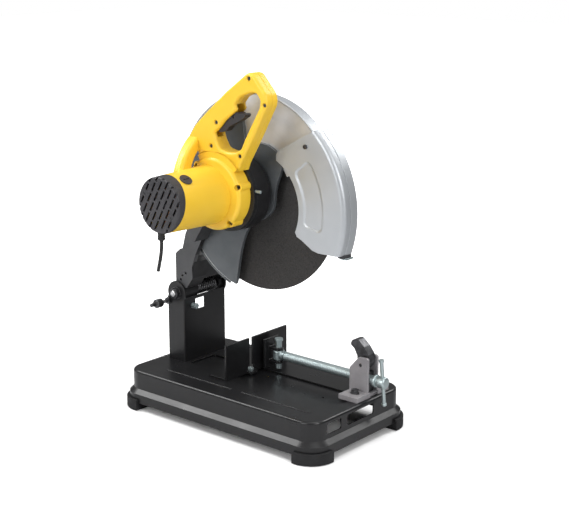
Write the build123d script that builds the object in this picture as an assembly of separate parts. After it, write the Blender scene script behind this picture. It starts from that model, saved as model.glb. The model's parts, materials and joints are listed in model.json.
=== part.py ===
from build123d import *
import math
import os

# Abrasive chop saw. Millimetres. The origin is the centre of the base's footprint on the floor.
# +X runs from the pivot column towards the vise, +Z is up, and the motor hangs out on the -Y side.

# Driving dimensions ---------------------------------------------------------------------------

# Pressed base.
TIER_LENGTH = 462.5
TIER_WIDTH = 262.5
TIER_CORNER = 33.0
TOP_Z = 74.5
SKIRT_OUT = 8.4
BAND_TOP_Z = 38.6
BAND_LOW_Z = 31.0
SKIRT_Z = 13.6
SHEET = 2.5
CHANNEL_Z = 71.0
CHANNEL_X = (-158.0, 204.0)
CHANNEL_Y = (-34.0, 36.0)

# Pivot column and swing arm.
PIVOT_X = -187.0
PIVOT_Z = 211.0
COLUMN_X = (-210.0, -167.0)
COLUMN_Y = (-36.0, 80.0)
PLATE = 3.0
EAR_RADIUS = 23.0
SHAFT_RADIUS = 6.0
BUSH_RADIUS = 8.0
HUB_RADIUS = 10.0
ARM_Y = (-30.5, 75.0)

# Wheel and its spindle.
WHEEL_RADIUS = 177.5
WHEEL_THICK = 3.0
WHEEL_X = -3.0
WHEEL_Z = 423.0
WHEEL_Y = 2.5
WHEEL_BORE = 12.7
FLANGE_RADIUS = 38.0
SPINDLE_RADIUS = 8.5

# Gears: 11 teeth on the armature drive 41 teeth on the spindle.
MODULE = 1.5
PINION_TEETH = 11
GEAR_TEETH = 41
PRESSURE_ANGLE = math.radians(25.0)
BACKLASH = 0.16
GEAR_DISTANCE = MODULE * (PINION_TEETH + GEAR_TEETH) / 2
GEAR_LEAN = math.radians(165.3)
MOTOR_X = WHEEL_X + GEAR_DISTANCE * math.cos(GEAR_LEAN)
MOTOR_Z = WHEEL_Z + GEAR_DISTANCE * math.sin(GEAR_LEAN)
GEAR_Y = (-51.0, -35.0)

# Motor and gear housings.
CASE_X = -25.0
CASE_Z = 432.0
CASE_RADIUS = 69.0
CASE_Y = (-60.0, -20.0)
COVER_Y = (-68.0, -60.0)
COLLAR_X = -31.5
COLLAR_Z = 435.0
COLLAR_RADIUS = 65.5
SADDLE_RADIUS = 75.0
COLLAR_Y = (-98.0, -68.0)
BARREL_RADIUS = 53.5
CAP_Y = (-221.0, -207.0)
CAP_RADIUS = 49.5
CAP_JOINT_Y = -206.0
CAP_JOINT_SLOPE = 0.2

# Guards. The fixed one is turned about the wheel axis. The moving one swings about the wheel axis
# too, but its rim is struck from a centre of its own, so that it opens towards its tip.
GUARD_RADIUS = 184.4
GUARD_Y = (-13.0, 14.0)
GUARD_SHEET = 1.6
GUARD_SPAN = (30.0, 250.0)
BEAD_RADIUS = 187.6
SWING_X = 10.5
SWING_Z = 410.0
SWING_RADIUS = 197.0
SWING_BORE = 95.3
SWING_Y = (-22.0, 17.6)
SWING_SEAM_Y = -4.0
SHOULDER = 9.0
FAR_CORNER = 4.0
RING_RADIUS = 62.0
COLLAR_BORE = 58.5

# Handle loop.
HANDLE_Y = (-93.0, -61.0)
HANDLE_SPLIT_Y = -77.0
HANDLE_WALL = 3.0

# Fence and vise.
FENCE_X = -33.0
FENCE_THICK = 4.0
FENCE_TOP_Z = 143.0
FENCE_Y = (-66.0, 108.0)
SLOT_Y = 4.0
SLOT_WIDTH = 9.5
SCREW_Y = 48.0
SCREW_Z = 105.0
SCREW_RADIUS = 9.0
NUT_BORE = 9.05
JAW_PIN_X = 0.0
JAW_PIN_RADIUS = 6.0
HUB_X = (236.0, 252.0)
LEVER_X = 204.0
LEVER_Z = 132.7

GAP = 0.05
RACE_FIT = 0.03
PARTS = {}


# Sketch and solid helpers -----------------------------------------------------------------------


def along_y(sketch, y0, y1):
    """Extrude a sketch drawn in X and Z from y0 to y1."""
    plane = Plane(origin=(0, y1, 0), x_dir=(1, 0, 0), z_dir=(0, -1, 0))
    return extrude(plane * sketch, y1 - y0)


def along_x(sketch, x0, x1):
    """Extrude a sketch drawn in Y and Z from x0 to x1."""
    return extrude(Plane.YZ.offset(x0) * sketch, x1 - x0)


def along_z(sketch, z0, z1):
    """Extrude a sketch drawn in X and Y from z0 to z1."""
    return extrude(Plane.XY.offset(z0) * sketch, z1 - z0)


def disc_y(x, z, radius, y0, y1):
    return along_y(Pos(x, z) * Circle(radius), y0, y1)


def disc_x(y, z, radius, x0, x1):
    return along_x(Pos(y, z) * Circle(radius), x0, x1)


def disc_z(x, y, radius, z0, z1):
    return along_z(Pos(x, y) * Circle(radius), z0, z1)


def block(x, y, z):
    """A box from three (low, high) pairs."""
    sketch = Pos((x[0] + x[1]) / 2, (y[0] + y[1]) / 2) * Rectangle(x[1] - x[0], y[1] - y[0])
    return along_z(sketch, z[0], z[1])


def outline(points):
    return make_face(Polyline(*points, close=True))


def rounded(points, radius):
    """A closed outline with every corner rounded, by less than the radius where its sides are short."""
    corners = []
    for index, point in enumerate(points):
        corner = Vector(*point)
        before = Vector(*points[index - 1]) - corner
        after = Vector(*points[(index + 1) % len(points)]) - corner
        half = math.radians(before.get_angle(after)) / 2
        reach = min(radius / math.tan(half), 0.48 * before.length, 0.48 * after.length)
        inward = (before.normalized() + after.normalized()).normalized()
        middle = corner + inward * (reach / math.cos(half) - reach * math.tan(half))
        corners.append((corner + before.normalized() * reach, middle, corner + after.normalized() * reach))
    edges = []
    for index, (start, middle, end) in enumerate(corners):
        edges.append(Line(corners[index - 1][2], start))
        edges.append(ThreePointArc(start, middle, end))
    return make_face(edges)


def arc(x, y, radius, start, stop, steps=6):
    """Points along an arc, in degrees."""
    return [polar(x, y, radius, start + (stop - start) * step / steps) for step in range(steps + 1)]


def polar(x, z, radius, degrees):
    angle = math.radians(degrees)
    return (x + radius * math.cos(angle), z + radius * math.sin(angle))


def ring_y(x, z, outer, inner, y0, y1):
    return disc_y(x, z, outer, y0, y1) - disc_y(x, z, inner, y0 - 1, y1 + 1)


def hexagon_y(x, z, across, y0, y1):
    return along_y(Pos(x, z) * RegularPolygon(across / math.sqrt(3), 6), y0, y1)


def hexagon_z(x, y, across, z0, z1):
    return along_z(Pos(x, y) * RegularPolygon(across / math.sqrt(3), 6), z0, z1)


def swept_ring(profile, x, z, start, stop):
    """Turn a profile of (radius, y) points about the Y axis through x, z between two angles."""
    plane = Plane(origin=(x, 0, z), x_dir=(1, 0, 0), z_dir=(0, 0, 1))
    face = plane * outline(profile)
    turned = revolve(face, Axis((x, 0, z), (0, -1, 0)), stop - start)
    return turned.rotate(Axis((x, 0, z), (0, -1, 0)), start)


def ball_bearing(x, z, outer, inner, y0, y1):
    """Inner race, outer race and balls as separate solids with running clearance."""
    middle = (outer + inner) / 2
    ball = (outer - inner) * 0.26
    width = (y0 + y1) / 2
    groove = Pos(x, width, z) * Rot(90, 0, 0) * Torus(middle, ball + GAP)
    outer_race = ring_y(x, z, outer, middle + ball * 0.55, y0, y1) - groove
    inner_race = ring_y(x, z, middle - ball * 0.55, inner + RACE_FIT, y0, y1) - groove
    count = int(math.pi * middle / (ball * 1.35))
    solids = [outer_race, inner_race]
    for index in range(count):
        bx, bz = polar(x, z, middle, 360 * index / count)
        solids.append(Pos(bx, width, bz) * Sphere(ball))
    return solids


def involute_gear(teeth, phase, bore):
    """A spur gear outline whose first tooth points along `phase` degrees."""
    pitch = MODULE * teeth / 2
    base = pitch * math.cos(PRESSURE_ANGLE)
    tip = pitch + 0.9 * MODULE
    root = pitch - 1.2 * MODULE
    start = max(base, root)
    half_pitch = math.pi / (2 * teeth) - BACKLASH / (2 * pitch)
    shift = math.tan(PRESSURE_ANGLE) - PRESSURE_ANGLE + half_pitch
    flank = []
    for step in range(6):
        radius = start + (tip - start) * step / 5
        roll = math.acos(min(1.0, base / radius))
        flank.append((radius, shift - (math.tan(roll) - roll)))
    points = []
    for tooth in range(teeth):
        middle = math.radians(phase) + 2 * math.pi * tooth / teeth
        side = [(root, flank[0][1])] if root < start else []
        low = side + flank
        for radius, half in low:
            points.append((radius * math.cos(middle - half), radius * math.sin(middle - half)))
        for radius, half in reversed(low):
            points.append((radius * math.cos(middle + half), radius * math.sin(middle + half)))
    return outline(points) - Circle(bore)


def keep(name, shapes):
    """Hold a node as one solid or as a group of separate solids."""
    solids = []
    for shape in shapes if isinstance(shapes, list) else [shapes]:
        solids.extend(shape.solids())
    PARTS[name] = solids[0] if len(solids) == 1 else Compound(children=solids)


# Base ---------------------------------------------------------------------------------------------

TIER_X = TIER_LENGTH / 2
TIER_Y = TIER_WIDTH / 2
CORNER_X = TIER_X - TIER_CORNER
CORNER_Y = TIER_Y - TIER_CORNER
FOOT_BOLT_RADIUS = 28.0
COLUMN_BOLTS = [(x, y) for x in (-196.0,) for y in (-14.0, 22.0, 58.0)]
BRACKET_BOLTS = [(203.0, 20.0), (203.0, 80.0)]
BEADS = [(-162.0, 3.0, -89.0), (28.0, 190.0, -89.0), (-162.0, 3.0, 113.0), (28.0, 168.0, 113.0)]
BEAD_HEIGHT = 1.1


def tray(inset, z_top, z_bottom):
    """The stepped outline of the base, inset all round."""
    def sheet(grow):
        radius = TIER_CORNER + grow - inset
        width = TIER_LENGTH + 2 * (grow - inset)
        depth = TIER_WIDTH + 2 * (grow - inset)
        return RectangleRounded(width, depth, radius)

    tier = along_z(sheet(0), BAND_TOP_Z, z_top)
    band = loft([Plane.XY.offset(BAND_LOW_Z) * sheet(SKIRT_OUT), Plane.XY.offset(BAND_TOP_Z) * sheet(0)])
    skirt = along_z(sheet(SKIRT_OUT), z_bottom, BAND_LOW_Z)
    return tier + band + skirt


def slotted(x0, x1, y0, y1, corner):
    return Pos((x0 + x1) / 2, (y0 + y1) / 2) * RectangleRounded(x1 - x0, y1 - y0, corner)


def base_shell():
    outer = tray(0, TOP_Z, SKIRT_Z)
    rim = outer.edges().filter_by_position(Axis.Z, TOP_Z - 0.01, TOP_Z + 0.01)
    outer = fillet(rim, 5.0)
    hollow = tray(SHEET, TOP_Z - SHEET, SKIRT_Z - 1)
    shell = outer - hollow
    tray_under = along_z(slotted(*CHANNEL_X, *CHANNEL_Y, 8.0), CHANNEL_Z - SHEET, TOP_Z - SHEET)
    shell += tray_under
    shell -= along_z(slotted(*CHANNEL_X, *CHANNEL_Y, 6.0), CHANNEL_Z, TOP_Z + 1)
    for sx in (-1, 1):
        for sy in (-1, 1):
            web = disc_z(sx * CORNER_X, sy * CORNER_Y, TIER_CORNER + SKIRT_OUT - 1, SKIRT_Z, SKIRT_Z + SHEET)
            quarter = block(
                (CORNER_X - 10, CORNER_X + 60) if sx > 0 else (-CORNER_X - 60, -CORNER_X + 10),
                (CORNER_Y - 10, CORNER_Y + 60) if sy > 0 else (-CORNER_Y - 60, -CORNER_Y + 10),
                (SKIRT_Z, SKIRT_Z + SHEET),
            )
            shell += web & quarter
            bx, by = foot_bolt(sx, sy)
            shell -= disc_z(bx, by, 2.6, SKIRT_Z - 1, SKIRT_Z + SHEET + 1)
    for x0, x1, y in BEADS:
        bead = along_z(slotted(x0, x1, y - 2.2, y + 2.2, 2.1), TOP_Z - 1, TOP_Z + BEAD_HEIGHT)
        crest_z = TOP_Z + BEAD_HEIGHT
        crest = bead.edges().filter_by_position(Axis.Z, crest_z - 0.01, crest_z + 0.01)
        shell += fillet(crest, 0.9)
    for x, y in COLUMN_BOLTS + BRACKET_BOLTS:
        shell -= disc_z(x, y, 4.5, TOP_Z - 8, TOP_Z + 1)
    shell -= disc_z(FENCE_X, SLOT_Y, 4.2, CHANNEL_Z - 8, CHANNEL_Z + 1)
    shell -= disc_z(153.0, -9.0, 3.0, CHANNEL_Z - 8, CHANNEL_Z + 1)
    for y0, y1 in ((-95.0, -55.0), (-38.0, 39.0)):
        mouth = Pos((y0 + y1) / 2, 56.5) * RectangleRounded(y1 - y0, 20.0, 4.0)
        shell -= along_x(mouth, TIER_X - 12, TIER_X + 5)
    return shell


def foot_bolt(sx, sy):
    reach = FOOT_BOLT_RADIUS / math.sqrt(2)
    return sx * (CORNER_X + reach), sy * (CORNER_Y + reach)


def rubber_feet():
    """Corner pads that lap the skirt and carry it off the floor."""
    feet = []
    outer = TIER_CORNER + SKIRT_OUT + 5.8
    for sx in (-1, 1):
        for sy in (-1, 1):
            cx, cy = sx * CORNER_X, sy * CORNER_Y
            pad = disc_z(cx, cy, outer, 0, 20.5)
            pad -= disc_z(cx, cy, 15.0, -1, 22)
            pad -= disc_z(cx, cy, TIER_CORNER + SKIRT_OUT + GAP, SKIRT_Z - GAP, 22)
            x = (cx - 6.0, cx + 60) if sx > 0 else (cx - 60, cx + 6.0)
            y = (cy - 6.0, cy + 60) if sy > 0 else (cy - 60, cy + 6.0)
            pad = pad & block(x, y, (-1, 22))
            straight_x = (cx - 7, cx) if sx > 0 else (cx, cx + 7)
            straight_y = (cy - 7, cy) if sy > 0 else (cy, cy + 7)
            skirt_x = abs(cx) + TIER_CORNER + SKIRT_OUT + GAP
            skirt_y = abs(cy) + TIER_CORNER + SKIRT_OUT + GAP
            inside = block((-skirt_x, skirt_x), (-skirt_y, skirt_y), (SKIRT_Z - GAP, 22))
            pad -= inside & block(straight_x, (-200, 200), (0, 30))
            pad -= inside & block((-300, 300), straight_y, (0, 30))
            bx, by = foot_bolt(sx, sy)
            pad -= disc_z(bx, by, 2.6, -1, 22)
            pad -= disc_z(bx, by, 5.5, -1, 6.0)
            feet.append(pad)
    return feet


def foot_screws():
    screws = []
    for sx in (-1, 1):
        for sy in (-1, 1):
            bx, by = foot_bolt(sx, sy)
            head = disc_z(bx, by, 4.6, 3.0, 6.0)
            shank = disc_z(bx, by, 2.5, 5.0, SKIRT_Z + 8)
            screws.append(head + shank)
    return screws


# Column and pivot -----------------------------------------------------------------------------------

LOCK_X = -208.5
LOCK_Z = 192.0
LOCK_RADIUS = 3.2


STOP_BOLT = (-13.0, 185.0)


def stop_bolt():
    """The adjusting bolt that sets how far the head comes down, locked by its nut."""
    face = COLUMN_X[1]
    bolt = disc_x(*STOP_BOLT, 3.0, face - 12.0, face + 8.0)
    for start, stop in ((face, face + 5.0), (face + 8.0, face + 12.0)):
        bolt += along_x(Pos(*STOP_BOLT) * RegularPolygon(10.0 / math.sqrt(3), 6), start, stop)
    return bolt


def pivot_column():
    """A folded channel: the web faces the work and the two cheeks end in round ears."""
    low_x, high_x = COLUMN_X
    foot = TOP_Z + PLATE
    cheek = outline([(low_x, TOP_Z), (high_x, TOP_Z), (high_x, PIVOT_Z - 8), (low_x, PIVOT_Z - 8)])
    cheek += Pos(PIVOT_X, PIVOT_Z) * Circle(EAR_RADIUS)
    cheek += Pos(LOCK_X + 4, LOCK_Z) * Circle(10)
    body = along_y(cheek, COLUMN_Y[0], COLUMN_Y[0] + PLATE)
    body += along_y(cheek, COLUMN_Y[1] - PLATE, COLUMN_Y[1])
    body += block((high_x - PLATE, high_x), COLUMN_Y, (TOP_Z, 202.0))
    body += block((low_x, high_x), COLUMN_Y, (TOP_Z, foot))
    corners = body.edges().filter_by(Axis.Z)
    folds = [e for e in corners if abs(e.center().X - high_x) < 0.1 and e.length > 100]
    body = fillet(folds, 2.9)
    body -= block((high_x - 10, high_x + 5), (-5.0, 21.0), (174.0, 196.0))
    body -= disc_x(*STOP_BOLT, 3.05, high_x - 10, high_x + 5)
    body -= disc_y(PIVOT_X, PIVOT_Z, SHAFT_RADIUS + GAP, COLUMN_Y[0] - 5, COLUMN_Y[1] + 5)
    body -= disc_y(LOCK_X, LOCK_Z, LOCK_RADIUS + GAP, COLUMN_Y[0] - 5, COLUMN_Y[0] + 10)
    for x, y in COLUMN_BOLTS:
        body -= disc_z(x, y, 4.5, TOP_Z - 1, foot + 1)
    return body


def hex_bolt(x, y, seat, underside):
    """An M8 bolt, head up on its washer, with its nut under the sheet."""
    bolt = hexagon_z(x, y, 13.0, seat + 1.6, seat + 7.1)
    bolt += disc_z(x, y, 8.0, seat, seat + 1.6)
    bolt += disc_z(x, y, 4.0, underside - 10.0, seat)
    bolt += hexagon_z(x, y, 13.0, underside - 6.5, underside)
    return bolt


def column_bolts():
    return [hex_bolt(x, y, TOP_Z + PLATE, TOP_Z - SHEET) for x, y in COLUMN_BOLTS]


def pivot_shaft():
    shaft = disc_y(PIVOT_X, PIVOT_Z, SHAFT_RADIUS, COLUMN_Y[0] - 11, COLUMN_Y[1] + 11)
    return chamfer(shaft.edges().filter_by(GeomType.CIRCLE), 0.8)


def pivot_nuts():
    nuts = []
    for face, sign in ((COLUMN_Y[0], -1), (COLUMN_Y[1], 1)):
        start, washer, end = face, face + sign * 1.6, face + sign * 8.6
        plate = ring_y(PIVOT_X, PIVOT_Z, 12.0, SHAFT_RADIUS, min(start, washer), max(start, washer))
        nut = hexagon_y(PIVOT_X, PIVOT_Z, 19.0, min(washer, end), max(washer, end))
        nut -= disc_y(PIVOT_X, PIVOT_Z, SHAFT_RADIUS, min(washer, end) - 1, max(washer, end) + 1)
        nuts += [plate, nut]
    return nuts


def pivot_bushes():
    bushes = []
    for y0, y1 in ((ARM_Y[0], ARM_Y[0] + 18), (ARM_Y[1] - 18, ARM_Y[1])):
        bushes.append(ring_y(PIVOT_X, PIVOT_Z, BUSH_RADIUS, SHAFT_RADIUS + GAP, y0, y1))
    return bushes


SPRING_MEAN = 12.6
SPRING_WIRE = 1.9
SPRING_Y = (13.0, 60.0)
SPRING_TURNS = 9


def torsion_spring():
    """Wound round the arm's hub tube, with one leg down the column and one up the arm."""
    pitch = (SPRING_Y[1] - SPRING_Y[0]) / SPRING_TURNS
    coil = Helix(pitch, SPRING_Y[1] - SPRING_Y[0], SPRING_MEAN)
    start = coil @ 0
    end = coil @ 1
    leg_down = Line(start - (coil % 0) * 24, start)
    leg_up = Line(end, end + (coil % 1) * 24)
    path = Wire([leg_down, coil, leg_up])
    section = Plane(origin=leg_down @ 0, z_dir=leg_down % 0) * Circle(SPRING_WIRE)
    spring = sweep(section, path=path, is_frenet=True)
    return Pos(PIVOT_X, SPRING_Y[1], PIVOT_Z) * Rot(90, 0, 0) * spring


def lock_pin():
    """Slides in through the near cheek to hold the head down for carrying."""
    rod = disc_y(LOCK_X, LOCK_Z, LOCK_RADIUS, -62.0, -24.0)
    collar = disc_y(LOCK_X, LOCK_Z, 6.5, COLUMN_Y[0] - 5.0, COLUMN_Y[0] - GAP)
    return rod + collar


def lock_knob():
    knob = disc_y(LOCK_X, LOCK_Z, 8.5, -72.0, -56.0)
    knob = fillet(knob.edges().filter_by(GeomType.CIRCLE), 2.5)
    tip = disc_y(LOCK_X, LOCK_Z, 3.6, -84.0, -72.0)
    return knob + tip - disc_y(LOCK_X, LOCK_Z, LOCK_RADIUS, -62.0, -50.0)


CHEEK_BACK = 8.0


def swing_arm():
    """A casting: hub tube, a wide block between the ears, and a flat limb beside the guard."""
    near, far = ARM_Y
    hub = disc_y(PIVOT_X, PIVOT_Z, HUB_RADIUS, near, far)
    cheek = rounded([
        (-193, 224), (-193, 288), (-180, 299), (-162, 299), (-150, 284), (-149, 244), (-166, 222),
    ], 6.0)
    cheek += Pos(PIVOT_X, PIVOT_Z) * Circle(16.5)
    hub += along_y(cheek, near, CHEEK_BACK)
    hub += disc_y(PIVOT_X, PIVOT_Z, 16.5, 66.0, far)
    tail = outline([
        (-191, 226), (-189, 262), (-176, 300), (-162, 302), (-146, 276), (-152, 240), (-166, 222),
    ])
    block_body = along_y(tail, near + 3.0, far)
    block_body -= disc_y(PIVOT_X, PIVOT_Z, 18.5, CHEEK_BACK, 66.0)
    block_body -= block((PIVOT_X - 2.0, -130.0), (CHEEK_BACK, 66.0), (190.0, 238.0))
    limb_points = [
        (-188, 250), (-166, 330), (-136, 388), (-100, 437), (-78, 452), (-60, 430),
        (-74, 392), (-112, 346), (-141, 292), (-156, 250),
    ]
    seat = CASE_Y[1] - GAP
    limb = along_y(outline(limb_points), near, seat)
    upper_face = outline([(-140, 380), (-100, 437), (-78, 452), (-60, 420), (-84, 376), (-118, 326)])
    upper = along_y(upper_face, -56.0, seat)
    arm = hub + block_body + limb + upper
    arm -= disc_y(CASE_X, CASE_Z, CASE_RADIUS + GAP, -80, 0)
    arm -= disc_y(PIVOT_X, PIVOT_Z, BUSH_RADIUS, near - 1, far + 1)
    for radius, angle in ((28.0, 75.0), (37.0, 72.5), (46.0, 64.0)):
        x, z = polar(PIVOT_X, PIVOT_Z, radius, angle)
        arm -= along_y(Pos(x, z) * Rot(0, 0, angle) * Rectangle(4.0, 5.5), near - 1, near + 3.0)
    return arm


# Gear case --------------------------------------------------------------------------------------------

CASE_SCREW_RADIUS = 45.0
CASE_SCREW_ANGLES = (80, 150, 215, 275)
GUARD_SCREW_RADIUS = 50.0
LOCK_ROD = (-62.5, 444.0)


def gear_housing():
    case = disc_y(CASE_X, CASE_Z, CASE_RADIUS, *CASE_Y)
    front = [e for e in case.edges().filter_by(GeomType.CIRCLE) if e.center().Y > CASE_Y[1] - 1]
    case = fillet(front, 9.0)
    case += disc_y(WHEEL_X, WHEEL_Z, 27.0, CASE_Y[1] - 5, -11.5)
    room = disc_y(WHEEL_X, WHEEL_Z, 35.0, CASE_Y[0] - 1, -33.0)
    room += disc_y(MOTOR_X, MOTOR_Z, 15.0, CASE_Y[0] - 1, -28.0)
    case -= room
    case -= disc_y(WHEEL_X, WHEEL_Z, 20.0, -34.0, -20.0)
    case -= disc_y(WHEEL_X, WHEEL_Z, 14.5, -25.0, -10.0)
    for angle in CASE_SCREW_ANGLES:
        x, z = polar(CASE_X, CASE_Z, CASE_SCREW_RADIUS, angle)
        case -= disc_y(x, z, 2.5, CASE_Y[0] - 1, CASE_Y[0] + 18)
    for x, z in guard_screw_places():
        case -= disc_y(x, z, 2.5, -32.5, -10)
    return case - disc_x(*LOCK_ROD, 2.8 + GAP, 10.0, 60.0)


def guard_screw_places():
    return [polar(CASE_X, CASE_Z, GUARD_SCREW_RADIUS, angle) for angle in (55, 130, 215, 300)]


def gear_cover():
    """The bearing plate between the motor and the gears."""
    plate = disc_y(CASE_X, CASE_Z, CASE_RADIUS - 1.0, *COVER_Y)
    plate += disc_y(MOTOR_X, MOTOR_Z, 20.0, COVER_Y[0] - 6, COVER_Y[0])
    plate -= disc_y(MOTOR_X, MOTOR_Z, 16.0, COVER_Y[0] - 7, COVER_Y[0] + 4)
    plate -= disc_y(MOTOR_X, MOTOR_Z, 8.0, COVER_Y[0] - 7, COVER_Y[1] + 1)
    plate -= disc_y(WHEEL_X, WHEEL_Z, 13.0, COVER_Y[0] + 2, COVER_Y[1] + 1)
    plate -= disc_x(*LOCK_ROD, 2.8 + GAP, 10.0, 60.0)
    for angle in CASE_SCREW_ANGLES:
        x, z = polar(CASE_X, CASE_Z, CASE_SCREW_RADIUS, angle)
        plate -= disc_y(x, z, 2.6, COVER_Y[0] - 8, COVER_Y[1] + 1)
    return plate


def spindle():
    rod = disc_y(WHEEL_X, WHEEL_Z, 5.0, COVER_Y[0] + 2.5, GEAR_Y[0] - 2)
    rod += disc_y(WHEEL_X, WHEEL_Z, SPINDLE_RADIUS, GEAR_Y[0] - 2, -6.0)
    rod += disc_y(WHEEL_X, WHEEL_Z, 7.5, -6.0, 2.0)
    rod -= disc_y(WHEEL_X, WHEEL_Z, 5.0, -16.0, 3.0)
    return rod


def wheel_stack():
    """Inner flange with its spigot, the wheel, the outer flange and the arbor bolt."""
    front = WHEEL_Y + WHEEL_THICK
    inner = disc_y(WHEEL_X, WHEEL_Z, FLANGE_RADIUS, -6.0, WHEEL_Y)
    inner += disc_y(WHEEL_X, WHEEL_Z, WHEEL_BORE - GAP, WHEEL_Y, WHEEL_Y + 2)
    inner -= disc_y(WHEEL_X, WHEEL_Z, FLANGE_RADIUS - 8, WHEEL_Y - 0.8, WHEEL_Y) - disc_y(
        WHEEL_X, WHEEL_Z, WHEEL_BORE - GAP, WHEEL_Y - 2, WHEEL_Y + 3)
    inner -= disc_y(WHEEL_X, WHEEL_Z, 7.5, -7, 8)
    wheel = ring_y(WHEEL_X, WHEEL_Z, WHEEL_RADIUS, WHEEL_BORE, WHEEL_Y, front)
    outer = disc_y(WHEEL_X, WHEEL_Z, FLANGE_RADIUS, front, front + 5)
    outer -= disc_y(WHEEL_X, WHEEL_Z, FLANGE_RADIUS - 8, front - 1, front + 0.8)
    outer -= disc_y(WHEEL_X, WHEEL_Z, 5.2, front - 1, front + 6)
    bolt = disc_y(WHEEL_X, WHEEL_Z, 5.0, -14.0, front + 6)
    bolt += disc_y(WHEEL_X, WHEEL_Z, 12.0, front + 5, front + 7)
    bolt += hexagon_y(WHEEL_X, WHEEL_Z, 17.0, front + 7, front + 14)
    return inner, wheel, outer, bolt


# Motor --------------------------------------------------------------------------------------------------

CORE_Y = (-168.0, -108.0)
REAR_BEARING_Y = (-206.0, -197.0)
FRONT_BEARING_Y = (COVER_Y[0] - 6, COVER_Y[0] + 4)


def armature():
    shaft = disc_y(MOTOR_X, MOTOR_Z, 5.0, REAR_BEARING_Y[0], -104.0)
    shaft += disc_y(MOTOR_X, MOTOR_Z, 6.0, -104.0, GEAR_Y[0] - 2.0)
    pinion = along_y(Pos(MOTOR_X, MOTOR_Z) * involute_gear(PINION_TEETH, pinion_phase(), 2.0), *GEAR_Y)
    pinion += disc_y(MOTOR_X, MOTOR_Z, 3.0, GEAR_Y[0] - 2.0, GEAR_Y[1])
    return shaft + pinion


def pinion_phase():
    """A gap of the pinion faces the spindle where a tooth of the gear faces the pinion."""
    return math.degrees(GEAR_LEAN) + 180 + 180 / PINION_TEETH


def armature_core():
    core = disc_y(MOTOR_X, MOTOR_Z, 24.5, *CORE_Y)
    slots = Sketch() + [
        Pos(*polar(MOTOR_X, MOTOR_Z, 22.5, 30 * index)) * Rot(0, 0, 30 * index) * Rectangle(5.0, 2.4)
        for index in range(12)
    ]
    core -= along_y(slots, CORE_Y[0] - 1, CORE_Y[1] + 1)
    return core - disc_y(MOTOR_X, MOTOR_Z, 5.0, CORE_Y[0] - 1, CORE_Y[1] + 1)


def commutator():
    drum = disc_y(MOTOR_X, MOTOR_Z, 15.0, -193.0, -173.0)
    cuts = Sketch() + [
        Pos(*polar(MOTOR_X, MOTOR_Z, 14.7, 15 * index)) * Rot(0, 0, 15 * index) * Rectangle(1.6, 0.5)
        for index in range(24)
    ]
    drum -= along_y(cuts, -194.0, -178.0)
    return drum - disc_y(MOTOR_X, MOTOR_Z, 5.0, -194.0, -172.0)


def cooling_fan():
    hub = disc_y(MOTOR_X, MOTOR_Z, 12.0, -103.0, -84.0)
    disc = disc_y(MOTOR_X, MOTOR_Z, 43.0, -87.0, -84.0)
    blades = Sketch() + [
        Pos(*polar(MOTOR_X, MOTOR_Z, 26.0, 24 * index)) * Rot(0, 0, 24 * index + 28) * Rectangle(32.0, 1.8)
        for index in range(15)
    ]
    wheel = hub + disc + along_y(blades, -99.0, -87.0)
    wheel = wheel & disc_y(MOTOR_X, MOTOR_Z, 43.0, -104.0, -83.0)
    return wheel - disc_y(MOTOR_X, MOTOR_Z, 6.0, -104.0, -83.0)


def stator():
    ring = ring_y(MOTOR_X, MOTOR_Z, 45.0, 25.2, CORE_Y[0], CORE_Y[1])
    pocket_face = Pos(MOTOR_X, MOTOR_Z) * RectangleRounded(74.0, 20.0, 6.0)
    pocket = along_y(pocket_face, CORE_Y[0] - 1, CORE_Y[1] + 1)
    return ring - pocket


def field_coils():
    coils = []
    for side in (-1, 1):
        x = MOTOR_X + side * 31.5
        coil = block((x - 4.5, x + 4.5), (CORE_Y[0] - 6, CORE_Y[1] + 6), (MOTOR_Z - 9, MOTOR_Z + 9))
        coils.append(fillet(coil.edges().filter_by(Axis.Y), 3.0))
    return coils


BRUSH_ANGLES = (57.0, 237.0)
BRUSH_Y = -181.0
BRUSH_CAP_RADIUS = 11.5


def toward(angle, inner, outer, radius, y=BRUSH_Y):
    """A cylinder that points straight out from the motor axis."""
    plane = Plane(
        origin=(*[MOTOR_X + inner * math.cos(math.radians(angle))], y,
                MOTOR_Z + inner * math.sin(math.radians(angle))),
        z_dir=(math.cos(math.radians(angle)), 0, math.sin(math.radians(angle))),
    )
    return extrude(plane * Circle(radius), outer - inner)


def brush_sets():
    holders, brushes, caps = [], [], []
    for angle in BRUSH_ANGLES:
        holders.append(toward(angle, 17.0, 46.0, 6.5) - toward(angle, 16.0, 47.0, 4.3))
        brushes.append(toward(angle, 15.05, 30.0, 4.2))
        cap = toward(angle, 46.1, 52.4, 8.0)
        cap += toward(angle, 50.2, 52.4, BRUSH_CAP_RADIUS)
        driver = Plane(
            origin=(MOTOR_X + 52.4 * math.cos(math.radians(angle)), BRUSH_Y,
                    MOTOR_Z + 52.4 * math.sin(math.radians(angle))),
            x_dir=(0, 1, 0),
            z_dir=(math.cos(math.radians(angle)), 0, math.sin(math.radians(angle))),
        ) * Rectangle(12.0, 2.2)
        caps.append(cap - extrude(driver, -1.6))
    return holders, brushes, caps


HOUSING_SCREW_ANGLES = (17.7, -50.0, 131.0, 200.0)
BOSS_Y = (-196.0, -184.0)


def cap_side():
    """Everything behind the slanted joint between the barrel and its end cap."""
    reach = 100.0
    low = (CAP_JOINT_Y - reach * CAP_JOINT_SLOPE, MOTOR_Z - reach)
    high = (CAP_JOINT_Y + reach * CAP_JOINT_SLOPE, MOTOR_Z + reach)
    wedge = outline([(-300.0, MOTOR_Z - reach), low, high, (-300.0, MOTOR_Z + reach)])
    return along_x(wedge, MOTOR_X - reach, MOTOR_X + reach)


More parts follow.
